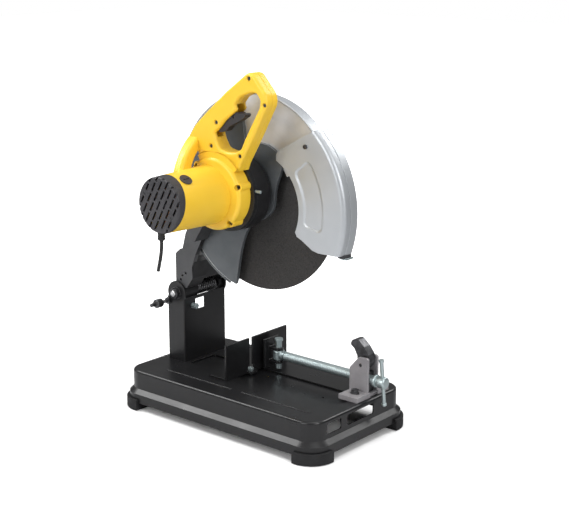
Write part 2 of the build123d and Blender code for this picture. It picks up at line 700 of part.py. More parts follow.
def barrel_shape():
    return loft([
        Plane(origin=(MOTOR_X, CAP_Y[0], MOTOR_Z), z_dir=(0, 1, 0)) * Circle(CAP_RADIUS),
        Plane(origin=(MOTOR_X, COLLAR_Y[0] + 2, MOTOR_Z), z_dir=(0, 1, 0)) * Circle(BARREL_RADIUS),
    ])


def saddle():
    """The raised seat on the collar that the handle stands on."""
    seat = along_y(sector(COLLAR_X, COLLAR_Z, SADDLE_RADIUS, 56.0, *SADDLE_SPAN), HANDLE_Y[0], COLLAR_Y[1])
    lip = sector(COLLAR_X, COLLAR_Z, SADDLE_RADIUS, CASE_RADIUS + 2.5, *SADDLE_SPAN)
    return seat + along_y(lip, COLLAR_Y[1], HANDLE_Y[1])


SADDLE_SPAN = (42.0, 120.0)


def motor_housing():
    """One moulding: a tapered barrel and the wide collar that bolts to the gear case."""
    barrel = barrel_shape() - cap_side()
    collar = disc_y(COLLAR_X, COLLAR_Z, COLLAR_RADIUS, *COLLAR_Y)
    back = [e for e in collar.edges().filter_by(GeomType.CIRCLE) if e.center().Y < COLLAR_Y[0] + 1]
    collar = fillet(back, 7.0)
    for angle in HOUSING_SCREW_ANGLES:
        x, z = polar(COLLAR_X, COLLAR_Z, COLLAR_RADIUS - 4.0, angle)
        collar += disc_y(x, z, 8.0, COLLAR_Y[0] + 6, COLLAR_Y[1])
    body = barrel + collar + saddle()
    body -= disc_y(MOTOR_X, MOTOR_Z, 46.4, CAP_Y[0] - 1, COLLAR_Y[0])
    body -= disc_y(MOTOR_X, MOTOR_Z, 46.4, COLLAR_Y[0] - 1, COLLAR_Y[1] + 1)
    body -= disc_y(COLLAR_X, COLLAR_Z, COLLAR_RADIUS - 11.0, COLLAR_Y[0] + 5, COLLAR_Y[1] + 1)
    for angle in BRUSH_ANGLES:
        body -= toward(angle, 44.0, 60.0, 8.1)
        body -= toward(angle, 50.1, 60.0, BRUSH_CAP_RADIUS + 0.1)
    body -= disc_z(CORD_X, CORD_Y, 7.0, 370.0, 392.0)
    for x, z in housing_screw_places():
        body -= disc_y(x, z, 2.6, COLLAR_Y[0] - 5, COLLAR_Y[1] + 1)
        body -= disc_y(x, z, 5.0, COLLAR_Y[0] - 5, COLLAR_Y[0] + 12)
    for x, z in cap_screw_places():
        angle = math.degrees(math.atan2(z - MOTOR_Z, x - MOTOR_X))
        lug = disc_y(x, z, 5.0, *BOSS_Y)
        lug += along_y(sector(MOTOR_X, MOTOR_Z, 48.0, 40.0, angle - 9, angle + 9), *BOSS_Y)
        body += lug - disc_y(x, z, 1.6, BOSS_Y[0] - 1, BOSS_Y[1] - 2)
    return body


def housing_screw_places():
    return [polar(COLLAR_X, COLLAR_Z, COLLAR_RADIUS - 4.0, angle) for angle in HOUSING_SCREW_ANGLES]


def housing_screws():
    screws = []
    for x, z in housing_screw_places():
        head = disc_y(x, z, 4.6, COLLAR_Y[0] + 8, COLLAR_Y[0] + 12)
        head -= along_y(Pos(x, z) * RegularPolygon(2.4, 6), COLLAR_Y[0] + 7, COLLAR_Y[0] + 10.5)
        screws.append(head + disc_y(x, z, 2.4, COLLAR_Y[0] + 11, COLLAR_Y[1] - 2))
    return screws


def gear_screws():
    screws = []
    for angle in CASE_SCREW_ANGLES:
        x, z = polar(CASE_X, CASE_Z, CASE_SCREW_RADIUS, angle)
        head = disc_y(x, z, 4.2, COVER_Y[0] - 3.2, COVER_Y[0])
        screws.append(head + disc_y(x, z, 2.4, COVER_Y[0] - 1, -46.0))
    return screws


CAP_SCREWS = (150.0, 330.0)


def cap_screw_places():
    return [polar(MOTOR_X, MOTOR_Z, 36.0, angle) for angle in CAP_SCREWS]


def end_cap():
    """The vented rear cover, with slanted broken slots across its face."""
    whole = barrel_shape()
    face = [e for e in whole.edges().filter_by(GeomType.CIRCLE) if e.center().Y < CAP_Y[0] + 1]
    whole = fillet(face, 4.0)
    cap = whole & cap_side()
    cap -= disc_y(MOTOR_X, MOTOR_Z, CAP_RADIUS - 4, CAP_Y[0] + 4.0, COLLAR_Y[0])
    cap += disc_y(MOTOR_X, MOTOR_Z, 15.0, CAP_Y[0] + 3, CAP_Y[1] + 3)
    cap -= disc_y(MOTOR_X, MOTOR_Z, 13.0, REAR_BEARING_Y[0] - 1.0, CAP_Y[1] + 4)
    for x, z in cap_screw_places():
        cap += disc_y(x, z, 5.0, CAP_Y[0] + 3, BOSS_Y[0])
    slots = Sketch()
    for row in range(-3, 4):
        shift = (row % 2) * 11.0
        for piece in range(-3, 3):
            slots += Pos(row * 12.4, piece * 22.0 + shift) * Rectangle(4.2, 18.5)
    slots = Pos(MOTOR_X, MOTOR_Z) * Rot(0, 0, -29) * slots
    slots -= Sketch() + [Pos(x, z) * Circle(6.5) for x, z in cap_screw_places()]
    slots -= Pos(CORD_X, MOTOR_Z - CAP_RADIUS) * Circle(10.0)
    cap -= along_y(slots, CAP_Y[0] - 1, CAP_Y[0] + 4)
    cap -= disc_z(CORD_X, CORD_Y, 6.05, 370.0, 392.0)
    for x, z in cap_screw_places():
        cap -= disc_y(x, z, 1.7, CAP_Y[0] - 1, BOSS_Y[0] + 1)
        cap -= disc_y(x, z, 3.6, CAP_Y[0] - 1, CAP_Y[0] + 2.5)
    return cap


def cap_screws():
    screws = []
    for x, z in cap_screw_places():
        head = disc_y(x, z, 3.4, CAP_Y[0] + 0.5, CAP_Y[0] + 2.5)
        screws.append(head + disc_y(x, z, 1.5, CAP_Y[0] + 1, BOSS_Y[1] - 3))
    return screws


# Handle ---------------------------------------------------------------------------------------------------

LOOP = [
    (-97, 512), (-92, 532), (-76, 554), (-47, 580), (0, 619), (50, 655), (62, 653), (91, 621),
    (95, 602), (56, 538), (30, 494), (24, 478), (-64, 478), (-70, 508),
]
WINDOW = [
    (40, 615), (58, 621), (73, 623), (83, 610), (81, 597), (48, 540), (37, 520), (22, 514), (2, 513),
    (-16, 517), (-25, 532), (-29, 544), (-18, 553), (-4, 568), (12, 580), (24, 588), (20, 598), (30, 610),
]
LOOP_CORNER = 18.0
WINDOW_CORNER = 12.0
TRIGGER_X = 9.0
TRIGGER_Z = 574.0
TRIGGER_ROOM = [(-43, 538), (-8, 598), (46, 598), (50, 566), (-6, 534)]
HANDLE_SCREWS = [(53, 645), (88, 602), (31, 509), (-37, 520), (-87, 523), (-24, 563)]


def handle_half(y0, y1, inner0, inner1):
    loop = rounded(LOOP, LOOP_CORNER)
    window = rounded(WINDOW, WINDOW_CORNER)
    body = along_y(loop - window, y0, y1)
    body -= along_y(offset(loop, -HANDLE_WALL) - offset(window, HANDLE_WALL), inner0, inner1)
    for x, z in HANDLE_SCREWS:
        body += disc_y(x, z, 4.6, y0, y1) & along_y(loop - window, y0, y1)
    body -= disc_y(COLLAR_X, COLLAR_Z, SADDLE_RADIUS + GAP, y0 - 1, y1 + 1)
    body -= along_y(outline(TRIGGER_ROOM), HANDLE_SPLIT_Y - 9.0, HANDLE_SPLIT_Y + 9.0)
    body -= disc_y(TRIGGER_X, TRIGGER_Z, 2.6, HANDLE_SPLIT_Y - 11, HANDLE_SPLIT_Y + 11)
    for x, z in HANDLE_SCREWS:
        body -= disc_y(x, z, 1.9, y0 - 1, y1 + 1)
    return body


def handle_shells():
    near = handle_half(HANDLE_Y[0], HANDLE_SPLIT_Y, HANDLE_Y[0] + HANDLE_WALL, HANDLE_SPLIT_Y + 1)
    far = handle_half(HANDLE_SPLIT_Y, HANDLE_Y[1], HANDLE_SPLIT_Y - 1, HANDLE_Y[1] - HANDLE_WALL)
    for x, z in HANDLE_SCREWS:
        near -= disc_y(x, z, 3.4, HANDLE_Y[0] - 1, HANDLE_Y[0] + 4.5)
    return near, far


def handle_screws():
    screws = []
    for x, z in HANDLE_SCREWS:
        head = disc_y(x, z, 3.2, HANDLE_Y[0] + 2.0, HANDLE_Y[0] + 4.5)
        screws.append(head + disc_y(x, z, 1.8, HANDLE_Y[0] + 4, HANDLE_Y[1] - 2))
    return screws


def handle_brace():
    """The hollow-looking strut from the rear corner of the loop down to the top of the barrel."""
    stations = [
        ((-80.0, HANDLE_Y[0] - GAP, 519.0), (0, -1, 0), 27.0, 27.0),
        ((-72.0, -118.0, 502.0), (0, -0.75, -0.66), 23.0, 25.0),
        ((-64.0, -140.0, 474.0), (0, -0.3, -0.95), 23.0, 26.0),
    ]
    sections = [
        Plane(origin=place, x_dir=(1, 0, 0), z_dir=facing) * RectangleRounded(width, depth, 7.0)
        for place, facing, width, depth in stations
    ]
    shield = loft([
        Plane(origin=(MOTOR_X, CAP_Y[0], MOTOR_Z), z_dir=(0, 1, 0)) * Circle(CAP_RADIUS + GAP),
        Plane(origin=(MOTOR_X, COLLAR_Y[0] + 2, MOTOR_Z), z_dir=(0, 1, 0)) * Circle(BARREL_RADIUS + GAP),
    ])
    collar_room = disc_y(COLLAR_X, COLLAR_Z, SADDLE_RADIUS + GAP, HANDLE_Y[0] - 6.0, HANDLE_Y[0] + 2.0)
    return loft(sections) - shield - collar_room


def trigger():
    """Rocks on its pin; the nose stands out under the grip."""
    shape = rounded([
        (-27, 547), (7, 581), (20, 584), (27, 582), (38, 583), (37, 577), (24, 569), (0, 557),
        (-8, 548), (-20, 545),
    ], 6.0)
    body = along_y(shape, HANDLE_SPLIT_Y - 8.0, HANDLE_SPLIT_Y + 8.0)
    return body - disc_y(TRIGGER_X, TRIGGER_Z, 2.5 + GAP, -100, -50)


def switch_body():
    case = block((-56.0, -42.0), (HANDLE_SPLIT_Y - 8, HANDLE_SPLIT_Y + 8), (538.0, 560.0))
    return fillet(case.edges().filter_by(Axis.Y), 2.0)


# Cord ------------------------------------------------------------------------------------------

CORD_X = -42.0
CORD_Y = -214.0


def strain_relief():
    ribs = disc_z(CORD_X, CORD_Y, 6.0, 371.0, 386.0)
    for level in (373.0, 377.0, 381.0):
        ribs += disc_z(CORD_X, CORD_Y, 6.9, level, level + 2.0)
    return ribs - disc_z(CORD_X, CORD_Y, 3.25, 360.0, 390.0)


def power_cord():
    straight = Line((CORD_X, CORD_Y, 385.0), (CORD_X, CORD_Y, 368.0))
    hang = Spline(straight @ 1, (CORD_X - 10, CORD_Y, 314.0), tangents=[(0, 0, -1), (-0.25, 0, -1)])
    path = Wire([straight, hang])
    return sweep(Plane(origin=straight @ 0, z_dir=straight % 0) * Circle(3.2), path=path)


# Guards ----------------------------------------------------------------------------------------


def guard_fixed():
    """A spun shell: flat near plate, a rolled bead, a rim strip and the far plate with its collar."""
    near, far = GUARD_Y
    bead = (BEAD_RADIUS - 1.8, near - 0.2)
    rolled = arc(*bead, 1.8, -110, 100, 8)
    outside = [(86.0, near), (183.2, near)] + rolled
    outside += [(GUARD_RADIUS, near + 2.2), (GUARD_RADIUS, far), (COLLAR_BORE, far)]
    inside = [
        (COLLAR_BORE, far - GUARD_SHEET), (GUARD_RADIUS - GUARD_SHEET, far - GUARD_SHEET),
        (GUARD_RADIUS - GUARD_SHEET, near + GUARD_SHEET), (86.0, near + GUARD_SHEET),
    ]
    shell = swept_ring(outside + inside, WHEEL_X, WHEEL_Z, *GUARD_SPAN)
    shell += ring_y(WHEEL_X, WHEEL_Z, 90.0, COLLAR_BORE, far - GUARD_SHEET, far)
    shell += ring_y(WHEEL_X, WHEEL_Z, RING_RADIUS, COLLAR_BORE, far - GUARD_SHEET, SWING_Y[1] + 0.4)
    return shell


def guard_mount():
    """The cast plate that carries the guard on the gear case and shields the wheel's rear half."""
    edge = Spline(
        (30, 520), (64, 482), (50, 440), (44, 405), (20, 383), (-10, 366), (-26, 340), (-38, 296),
        (-47, 250),
    )
    rear = ThreePointArc((-47, 250), polar(WHEEL_X, WHEEL_Z, 172, 178), polar(WHEEL_X, WHEEL_Z, 172, 100))
    top = Line(polar(WHEEL_X, WHEEL_Z, 172, 100), (-22, 525))
    close = Line((-22, 525), (30, 520))
    face = make_face([edge, rear, top, close])
    plate = along_y(face, CASE_Y[1], GUARD_Y[0])
    plate -= disc_y(WHEEL_X, WHEEL_Z, 27.0 + GAP, -30, 0)
    for x, z in guard_screw_places():
        plate -= disc_y(x, z, 2.6, -30, 0)
    return plate


def guard_screws():
    return [disc_y(x, z, 4.4, GUARD_Y[0], GUARD_Y[0] + 3) + disc_y(x, z, 2.4, -32.0, GUARD_Y[0] + 1)
            for x, z in guard_screw_places()]


SWING_TOP = [(54, 470), (54, 505), (58, 513), (150, 561.5), (150, 640), (-60, 640), (-60, 470)]
SWING_FOOT = [
    (60, 371.5), (97.7, 371.5), (101.5, 364), (112.5, 359), (136.5, 344.5), (150, 341.5), (240, 341.5),
    (240, 200), (60, 200),
]
RECESS_RADII = (108.0, 148.5)
RECESS_SPAN = (-12.5, 38.5)
RECESS_DEPTH = 0.8


def sector(x, z, outer, inner, start, stop):
    """A ring sector in X and Z."""
    wedge = outline([(x, z)] + arc(x, z, 2 * outer, start, stop, 4))
    return (Pos(x, z) * (Circle(outer) - Circle(inner))) & wedge


def guard_swing():
    """The moving front guard: near plate, rounded shoulder, seamed rim and far plate with its ring."""
    near, far = SWING_Y
    inner = SWING_RADIUS - 2.2
    shoulder_x = SWING_RADIUS - 0.6 - SHOULDER
    far_x = SWING_RADIUS - FAR_CORNER
    profile = [(SWING_BORE, near)]
    profile += arc(shoulder_x, near + SHOULDER, SHOULDER, -90, 0)
    profile += [
        (SWING_RADIUS - 0.6, SWING_SEAM_Y - 0.7), (SWING_RADIUS - 1.2, SWING_SEAM_Y - 0.3),
        (SWING_RADIUS - 1.2, SWING_SEAM_Y + 0.3), (SWING_RADIUS, SWING_SEAM_Y + 0.8),
    ]
    profile += arc(far_x, far - FAR_CORNER, FAR_CORNER, 0, 90, 4)
    profile += [(120.0, far), (120.0, far - GUARD_SHEET)]
    profile += arc(far_x, far - FAR_CORNER, inner - far_x, 90, 0, 4)
    profile += arc(shoulder_x, near + SHOULDER, SHOULDER - GUARD_SHEET, 0, -90)
    profile += [(SWING_BORE, near + GUARD_SHEET)]
    shell = swept_ring(profile, SWING_X, SWING_Z, -40.0, 80.0)
    link = sector(WHEEL_X, WHEEL_Z, 150.0, RING_RADIUS + 4.0, -12.0, 34.0)
    shell += along_y(link, far - GUARD_SHEET, far)
    shell += ring_y(WHEEL_X, WHEEL_Z, RING_RADIUS + 14.0, RING_RADIUS + GAP, far - GUARD_SHEET, far)
    shell -= along_y(outline(SWING_TOP), near - 5, far + 5)
    shell -= along_y(outline(SWING_FOOT), near - 5, far + 5)
    recess = sector(SWING_X, SWING_Z, RECESS_RADII[1], RECESS_RADII[0], *RECESS_SPAN)
    recess = fillet(recess.vertices(), 9.0)
    shell -= along_y(recess, near - 1, near + RECESS_DEPTH)
    x, z = GUARD_BOLT
    return shell - disc_y(x, z, 2.45, near - 2, near + 3)


def guard_retainer():
    """The ring that keeps the moving guard on its collar."""
    start = SWING_Y[1] + 0.4
    return ring_y(WHEEL_X, WHEEL_Z, RING_RADIUS + 8.0, COLLAR_BORE, start, start + 2.0)


GUARD_BOLT = (120.5, 526.4)


def guard_bolt():
    x, z = GUARD_BOLT
    near = SWING_Y[0]
    head = disc_y(x, z, 4.2, near - 2.4, near)
    stem = disc_y(x, z, 2.4, near - 1, near + 5)
    return head + stem


def guard_clamp():
    """The small clip at the tip of the moving guard: a tab in the rim and a strip below it."""
    low = SWING_FOOT[5][1]
    body = block((183.0, 196.5), (-9.0, 13.0), (low - 5.5, low))
    strip = block((184.0, 199.0), (-5.0, 16.0), (low - 8.5, low - 5.5))
    tab = block((185.5, 190.5), (-7.0, 9.0), (low, low + 9.0))
    return body + strip + tab


# Fence and vise --------------------------------------------------------------------------------


def fence_plate():
    low, high = FENCE_Y
    front = FENCE_X + FENCE_THICK / 2
    back = FENCE_X - FENCE_THICK / 2
    wall = block((back, front), FENCE_Y, (TOP_Z + GAP, FENCE_TOP_Z))
    foot = block((back - 40.0, back), FENCE_Y, (TOP_Z + GAP, TOP_Z + GAP + FENCE_THICK))
    lug = disc_z(FENCE_X, SLOT_Y, 13.0, TOP_Z + GAP, TOP_Z + GAP + FENCE_THICK)
    fence = wall + foot + lug
    half = SLOT_WIDTH / 2
    fence -= block((back - 1, front + 1), (SLOT_Y - half, SLOT_Y + half), (TOP_Z + GAP + FENCE_THICK, 160))
    fence -= block((back - 1, front + 1), (SLOT_Y - 9.0, SLOT_Y + 9.0), (TOP_Z + GAP + FENCE_THICK, 88.5))
    fence -= disc_z(FENCE_X, SLOT_Y, 4.0 + GAP, TOP_Z - 1, TOP_Z + 8)
    fence -= disc_z(FENCE_X - 24.0, 70.0, 4.6, TOP_Z - 1, TOP_Z + 8)
    return fence


def fence_pivot_bolt():
    x, y = FENCE_X, SLOT_Y
    head_z = TOP_Z + GAP + FENCE_THICK + GAP
    bolt = disc_z(x, y, 6.5, head_z, head_z + 4.0)
    bolt -= along_z(Pos(x, y) * RegularPolygon(3.0, 6), head_z + 1.5, head_z + 5)
    bolt += disc_z(x, y, 4.0, CHANNEL_Z - SHEET - 8, head_z)
    bolt += hexagon_z(x, y, 13.0, CHANNEL_Z - SHEET - 6.5, CHANNEL_Z - SHEET)
    return bolt


def vise_bracket():
    """A cast bracket: two uprights beside the screw, each on its own foot."""
    pieces = None
    for y0, y1, foot0, foot1 in ((33.5, 38.5, -1.0, 38.5), (61.5, 66.5, 61.5, 94.0)):
        cheek = outline([(180, TOP_Z), (221, TOP_Z), (221, 145), (218, 148), (200, 147), (180, 124)])
        plate = along_y(cheek, y0, y1)
        foot = block((182.0, 224.0), (foot0, foot1), (TOP_Z, TOP_Z + 9.0))
        side = plate + foot
        pieces = side if pieces is None else pieces + side
    pieces += block((182.0, 221.0), (38.0, 62.0), (TOP_Z, TOP_Z + 6.0))
    for x, y in BRACKET_BOLTS:
        pieces -= along_z(Pos(x, y) * SlotOverall(20.0, 9.0), TOP_Z - 1, TOP_Z + 10)
    pieces -= disc_y(LEVER_X, LEVER_Z, 3.5, 30, 70)
    return pieces


def bracket_bolts():
    """The nearer bolt comes out under the channel, which is deeper than the rest of the top."""
    undersides = (CHANNEL_Z - SHEET, TOP_Z - SHEET)
    return [hex_bolt(x, y, TOP_Z + 9.0, low) for (x, y), low in zip(BRACKET_BOLTS, undersides)]


def vise_nut():
    """The half nut that the lever's cam holds against the screw."""
    nut = block((184.0, 214.0), (39.6, 61.4), (TOP_Z + 6.2, 118.0))
    nut = nut - disc_x(SCREW_Y, SCREW_Z, NUT_BORE, 180, 220)
    return nut


def release_lever():
    arm = rounded([
        (193, 127), (190, 147), (184, 158), (174, 165), (179, 174), (191, 178), (206, 165), (217, 151),
        (219, 139), (214, 127), (204, 121),
    ], 9.0)
    lever = along_y(arm, 42.0, 60.0)
    return lever - disc_y(LEVER_X, LEVER_Z, 3.5 + GAP, 30, 70)


def lever_pin():
    return disc_y(LEVER_X, LEVER_Z, 3.5, 35.0, 67.0)


def vise_screw():
    rod = disc_x(SCREW_Y, SCREW_Z, SCREW_RADIUS, JAW_PIN_X + 16.0, HUB_X[1])
    hub = disc_x(SCREW_Y, SCREW_Z, 11.0, *HUB_X)
    hub = fillet(hub.edges().filter_by(GeomType.CIRCLE), 3.0)
    neck = disc_x(SCREW_Y, SCREW_Z, 5.0, JAW_PIN_X + 8.0, JAW_PIN_X + 16.0)
    screw = rod + hub + neck + disc_x(SCREW_Y, SCREW_Z, 11.5, 226.0, 232.0)
    bar = Plane(origin=(244.0, SCREW_Y, SCREW_Z), z_dir=(0, -0.122, 0.993)) * Circle(3.6)
    return screw - extrude(bar, 20, both=True)


def t_bar():
    plane = Plane(origin=(244.0, SCREW_Y, SCREW_Z), z_dir=(0, -0.122, 0.993))
    bar = extrude(plane * Circle(3.6), 43, both=True)
    for side in (-1, 1):
        bar += extrude(plane.offset(side * 41.0) * Circle(4.8), side * 4.0)
    return bar


def jaw_block():
    """The eye on the end of the screw that carries the upright pin."""
    eye = disc_z(JAW_PIN_X, SCREW_Y, 11.0, SCREW_Z - 9, SCREW_Z + 9)
    eye = fillet(eye.edges().filter_by(GeomType.CIRCLE), 2.0)
    eye += disc_x(SCREW_Y, SCREW_Z, 9.0, JAW_PIN_X, JAW_PIN_X + 15.9)
    eye -= disc_x(SCREW_Y, SCREW_Z, 5.0 + GAP, JAW_PIN_X + 7.9, JAW_PIN_X + 17)
    return eye - disc_z(JAW_PIN_X, SCREW_Y, JAW_PIN_RADIUS, 60, 140)


def jaw_pin():
    pin = disc_z(JAW_PIN_X, SCREW_Y, JAW_PIN_RADIUS, 78.0, 133.0)
    pin += disc_z(JAW_PIN_X, SCREW_Y, 8.0, 133.0, 137.5)
    return pin


def vise_jaw():
    """The flat jaw, hung on the pin by two lugs above and below the eye."""
    half = 20.0
    width = (SCREW_Y - half, SCREW_Y + half)
    face = block((JAW_PIN_X - 22.0, JAW_PIN_X - 17.0), width, (TOP_Z + 4.0, 136.0))
    for low in (SCREW_Z - 16.0, SCREW_Z + 10.0):
        lug = block((JAW_PIN_X - 18.0, JAW_PIN_X), (SCREW_Y - 9, SCREW_Y + 9), (low, low + 5.0))
        lug += disc_z(JAW_PIN_X, SCREW_Y, 9.0, low, low + 5.0)
        face += lug
    return face - disc_z(JAW_PIN_X, SCREW_Y, JAW_PIN_RADIUS + GAP, 60, 150)


def spindle_lock():
    rod = disc_x(*LOCK_ROD, 2.8, 24.0, 54.0)
    return chamfer(rod.edges().filter_by(GeomType.CIRCLE), 0.6)


def build():
    keep("base_shell", base_shell())
    keep("rubber_feet", rubber_feet())
    keep("foot_screws", foot_screws())
    keep("pivot_column", pivot_column())
    keep("frame_bolts", column_bolts() + bracket_bolts() + [stop_bolt()])
    keep("pivot_shaft", pivot_shaft())
    keep("pivot_nuts", pivot_nuts())
    keep("pivot_bushes", pivot_bushes())
    keep("torsion_spring", torsion_spring())
    keep("lock_pin", [lock_pin(), lock_knob()])
    keep("swing_arm", swing_arm())
    keep("gear_housing", gear_housing())
    keep("gear_cover", gear_cover())
    keep("case_screws", gear_screws() + guard_screws())
    keep("spindle", spindle())
    inner, wheel, outer, bolt = wheel_stack()
    keep("wheel_flanges", [inner, outer])
    keep("abrasive_wheel", wheel)
    keep("arbor_bolt", bolt)
    gear_sketch = involute_gear(GEAR_TEETH, math.degrees(GEAR_LEAN), SPINDLE_RADIUS)
    keep("drive_gear", along_y(Pos(WHEEL_X, WHEEL_Z) * gear_sketch, *GEAR_Y))
    keep("spindle_bearings",
         ball_bearing(WHEEL_X, WHEEL_Z, 20.0, SPINDLE_RADIUS, -33.0, -21.0)
         + ball_bearing(WHEEL_X, WHEEL_Z, 13.0, 5.0, COVER_Y[0] + 2.5, COVER_Y[1] - 0.5))
    keep("armature_shaft", armature())
    keep("armature_core", armature_core())
    keep("commutator", commutator())
    keep("cooling_fan", cooling_fan())
    keep("armature_bearings",
         ball_bearing(MOTOR_X, MOTOR_Z, 16.0, 6.0, *FRONT_BEARING_Y)
         + ball_bearing(MOTOR_X, MOTOR_Z, 13.0, 5.0, *REAR_BEARING_Y))
    keep("stator_core", stator())
    keep("field_coils", field_coils())
    holders, brushes, caps = brush_sets()
    keep("brush_holders", holders)
    keep("carbon_brushes", brushes)
    keep("brush_caps", caps)
    keep("motor_housing", motor_housing())
    keep("motor_screws", housing_screws() + cap_screws())
    keep("end_cap", end_cap())
    near, far = handle_shells()
    keep("handle_near_shell", near)
    keep("handle_far_shell", far)
    keep("handle_screws", handle_screws())
    keep("handle_brace", handle_brace())
    keep("trigger", trigger())
    keep("trigger_pin", disc_y(TRIGGER_X, TRIGGER_Z, 2.5, HANDLE_SPLIT_Y - 11, HANDLE_SPLIT_Y + 11))
    keep("switch_body", switch_body())
    keep("strain_relief", strain_relief())
    keep("power_cord", power_cord())
    keep("fixed_guard", guard_fixed())
    keep("guard_mount_plate", guard_mount())
    keep("front_guard", guard_swing())
    keep("guard_retainer", guard_retainer())
    keep("guard_bolt", guard_bolt())
    keep("guard_clamp", guard_clamp())
    keep("spindle_lock", spindle_lock())
    keep("fence_plate", fence_plate())
    keep("fence_pivot_bolt", fence_pivot_bolt())
    keep("vise_bracket", vise_bracket())
    keep("vise_nut", vise_nut())
    keep("release_lever", release_lever())
    keep("lever_pin", lever_pin())
    keep("vise_screw", vise_screw())
    keep("t_bar", t_bar())
    keep("jaw_block", jaw_block())
    keep("jaw_pin", jaw_pin())
    keep("vise_jaw", vise_jaw())


build()
os.makedirs("parts", exist_ok=True)
for name, shape in PARTS.items():
    export_step(shape, f"parts/{name}.step")
print(len(PARTS), "nodes")
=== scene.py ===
import json
import math

import bmesh
import bpy
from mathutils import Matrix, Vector
from mathutils.geometry import tessellate_polygon


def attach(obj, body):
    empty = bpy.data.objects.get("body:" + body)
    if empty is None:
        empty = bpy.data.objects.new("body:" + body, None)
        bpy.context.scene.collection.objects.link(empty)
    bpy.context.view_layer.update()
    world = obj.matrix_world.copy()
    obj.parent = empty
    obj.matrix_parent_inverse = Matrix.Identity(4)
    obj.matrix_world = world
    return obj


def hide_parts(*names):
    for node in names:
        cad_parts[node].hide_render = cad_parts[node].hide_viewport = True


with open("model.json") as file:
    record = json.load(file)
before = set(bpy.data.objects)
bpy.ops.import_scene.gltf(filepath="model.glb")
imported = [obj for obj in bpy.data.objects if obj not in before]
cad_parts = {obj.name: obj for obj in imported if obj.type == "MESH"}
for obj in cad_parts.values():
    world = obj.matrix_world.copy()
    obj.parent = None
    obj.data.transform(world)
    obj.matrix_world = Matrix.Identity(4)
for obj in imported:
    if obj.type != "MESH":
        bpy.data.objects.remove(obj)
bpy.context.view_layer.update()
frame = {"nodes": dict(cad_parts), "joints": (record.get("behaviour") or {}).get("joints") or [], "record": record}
nodes = frame["nodes"]
joints = {joint["name"]: joint for joint in frame["joints"]}
MM = 0.001
wheel_at = Vector(joints["wheel_spin"]["pos_m"]) / MM


# Small geometry kit, in millimetres -------------------------------------------------------------

WELD_GAP = 0.02
FLAT_ANGLE = 0.4
EDGE_ANGLE = 32.0
NORMAL_WEIGHT = 60
ARC_STEP = 2.0
SIDE_STEP = 5.0
SIDE_SHARE = 0.49
SAME_POINT = 1e-4
DOUBLED_GAP = 0.001
ON_AXIS = 0.001


def new_object(name, verts, faces, smooth=True):
    mesh = bpy.data.meshes.new(name)
    mesh.from_pydata([Vector(v) * MM for v in verts], [], faces)
    mesh.validate()
    mesh.update()
    if smooth:
        mesh.shade_smooth()
    obj = bpy.data.objects.new(name, mesh)
    bpy.context.scene.collection.objects.link(obj)
    return obj


def add_modifier(obj, kind, **settings):
    modifier = obj.modifiers.new(kind.title(), kind)
    for key, value in settings.items():
        setattr(modifier, key, value)


def even_normals(obj):
    add_modifier(obj, "WEIGHTED_NORMAL", keep_sharp=False, weight=NORMAL_WEIGHT)


def soften(obj, width):
    """Round an object's sharp edges, and shade its flats flat."""
    add_modifier(obj, "WELD", merge_threshold=WELD_GAP * MM)
    add_modifier(obj, "DECIMATE", decimate_type="DISSOLVE", angle_limit=math.radians(FLAT_ANGLE))
    add_modifier(obj, "BEVEL", width=width * MM, segments=2, limit_method="ANGLE",
                 angle_limit=math.radians(EDGE_ANGLE), use_clamp_overlap=True)
    even_normals(obj)


def arc(x, y, radius, start, stop, steps):
    """Points along an arc, its angles in degrees."""
    return [
        (x + radius * math.cos(math.radians(start + (stop - start) * i / steps)),
         y + radius * math.sin(math.radians(start + (stop - start) * i / steps)))
        for i in range(steps + 1)
    ]


def loft(name, rings, capped=False):
    """Join closed rings of equal length by quads; a cap is one face."""
    count = len(rings[0])
    verts = [point for ring in rings for point in ring]
    faces = []
    for r in range(len(rings) - 1):
        for i in range(count):
            j = (i + 1) % count
            faces.append((r * count + i, r * count + j, (r + 1) * count + j, (r + 1) * count + i))
    if capped:
        faces.append(tuple(reversed(range(count))))
        faces.append(tuple(range((len(rings) - 1) * count, len(rings) * count)))
    return new_object(name, verts, faces)


def fix_normals(obj):
    """Merge doubled points and turn every face outward."""
    work = bmesh.new()
    work.from_mesh(obj.data)
    bmesh.ops.remove_doubles(work, verts=work.verts, dist=DOUBLED_GAP * MM)
    bmesh.ops.recalc_face_normals(work, faces=work.faces)
    work.to_mesh(obj.data)
    work.free()
    return obj


def revolve_y(name, profile, x, z, count):
    """Turn a closed loop of (radius, y) once round the Y axis through x, z."""
    rings = []
    for i in range(count):
        angle = math.radians(360.0 * i / count)
        rings.append([(x + r * math.cos(angle), y, z + r * math.sin(angle)) for r, y in profile])
    rings.append(rings[0])
    return fix_normals(loft(name, rings))


def cylinder_y(x, z, radius, y0, y1, count):
    return revolve_y("cutter", [(ON_AXIS, y0), (radius, y0), (radius, y1), (ON_AXIS, y1)], x, z, count)


def corner_arc(before, corner, after, radius):
    """The arc that rounds one corner; it takes less than half of each side."""
    back = before - corner
    on = after - corner
    half = back.angle(on) / 2
    reach = min(radius / math.tan(half), back.length * SIDE_SHARE, on.length * SIDE_SHARE)
    radius = reach * math.tan(half)
    a = corner + back.normalized() * reach
    b = corner + on.normalized() * reach
    steps = max(2, int((math.pi - 2 * half) * radius / ARC_STEP) + 2)
    centre = corner + (back.normalized() + on.normalized()).normalized() * (radius / math.sin(half))
    start = math.atan2(a.y - centre.y, a.x - centre.x)
    sweep = math.atan2(b.y - centre.y, b.x - centre.x) - start
    sweep = (sweep + math.pi) % (2 * math.pi) - math.pi
    turns = [start + sweep * s / steps for s in range(steps + 1)]
    return [Vector((centre.x + radius * math.cos(t), centre.y + radius * math.sin(t))) for t in turns]


